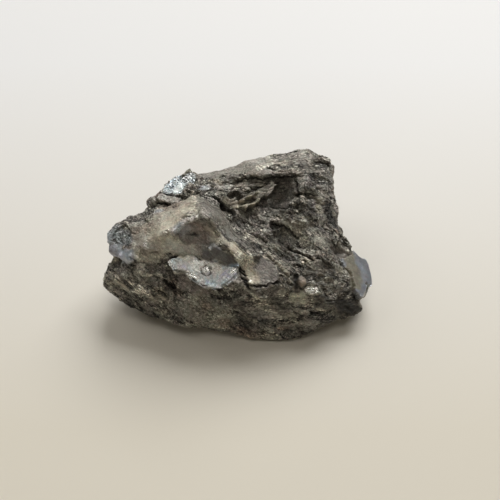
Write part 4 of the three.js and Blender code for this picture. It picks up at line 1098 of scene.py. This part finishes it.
def makeFloor():
    bm = bmesh.new()
    bmesh.ops.create_grid(bm, x_segments=1, y_segments=1, size=floorLook["size"] / 2)
    mesh = bpy.data.meshes.new("floor")
    bm.to_mesh(mesh)
    bm.free()
    floor = bpy.data.objects.new("floor", mesh)
    scene.collection.objects.link(floor)
    paint = bpy.data.materials.new("floorPaint")
    paint.use_nodes = True
    tree = paint.node_tree
    shader = tree.nodes["Principled BSDF"]
    place = tree.nodes.new("ShaderNodeTexCoord").outputs["Object"]
    across = addNode(tree, "ShaderNodeSeparateXYZ", {"Vector": place}).outputs["Y"]
    # painted light: the colour runs from the darker, warmer front to the lighter back
    depth = mapRange(tree, across, floorLook["frontAt"], floorLook["backAt"], 0.0, 1.0)
    shade = rampColour(tree, depth, [(0.0, floorLook["front"]), (1.0, floorLook["back"])])
    tree.links.new(shade, shader.inputs["Base Color"])
    shader.inputs["Roughness"].default_value = floorLook["roughness"]
    mesh.materials.append(paint)


makeFloor()
print("floor laid")


# the light: places in metres, power in watts

lights = {
    "window": {"at": (0.27, 0.73, 0.70), "size": (0.8, 0.6), "power": 10.7, "colour": (0.99, 0.985, 0.97)},
    "sky": {"at": (-0.48, 0.36, 0.46), "size": (0.6, 0.4), "power": 1.2, "colour": (1.0, 0.98, 0.95)},
    "ceiling": {"at": (0.0, -0.12, 0.75), "size": (0.3, 0.35), "power": 0.72, "colour": (1.0, 0.95, 0.86)},
    "lamp": {"at": (-0.05, -0.5, 0.2), "size": (0.3, 0.2), "power": 0.2, "colour": (1.0, 0.93, 0.80)},
    "room": {"colour": (1.0, 0.9, 0.74), "strength": 0.048},
}


def pointAt(thing, at, aim):
    thing.location = at
    thing.rotation_euler = (Vector(aim) - Vector(at)).to_track_quat("-Z", "Y").to_euler()


def makeLight(name, values):
    lamp = bpy.data.lights.new(name, "AREA")
    lamp.shape = "RECTANGLE"
    lamp.size, lamp.size_y = values["size"]
    lamp.energy = values["power"]
    lamp.color = values["colour"]
    panel = bpy.data.objects.new(name, lamp)
    scene.collection.objects.link(panel)
    pointAt(panel, values["at"], (0, 0, 0.01))


for name in ("window", "sky", "ceiling", "lamp"):
    makeLight(name, lights[name])
world = bpy.data.worlds.new("room")
world.use_nodes = True
world.node_tree.nodes["Background"].inputs["Color"].default_value = (*lights["room"]["colour"], 1)
world.node_tree.nodes["Background"].inputs["Strength"].default_value = lights["room"]["strength"]
scene.world = world
print("lights set")


# the camera: metres and degrees, the lens in millimetres

view = {"aim": (0.00231, 0.0039, 0.0), "distance": 0.235, "height": 50, "lens": 84.6, "sensor": 36,
        "nearest": 0.01}


def makeCamera():
    lens = bpy.data.cameras.new("camera")
    lens.lens = view["lens"]
    lens.sensor_width = view["sensor"]
    lens.clip_start = view["nearest"]
    camera = bpy.data.objects.new("camera", lens)
    scene.collection.objects.link(camera)
    height = math.radians(view["height"])
    back = Vector((0, -math.cos(height), math.sin(height)))
    pointAt(camera, Vector(view["aim"]) + back * view["distance"], view["aim"])
    scene.camera = camera


makeCamera()
scene.view_settings.view_transform = "Standard"
print("camera set")
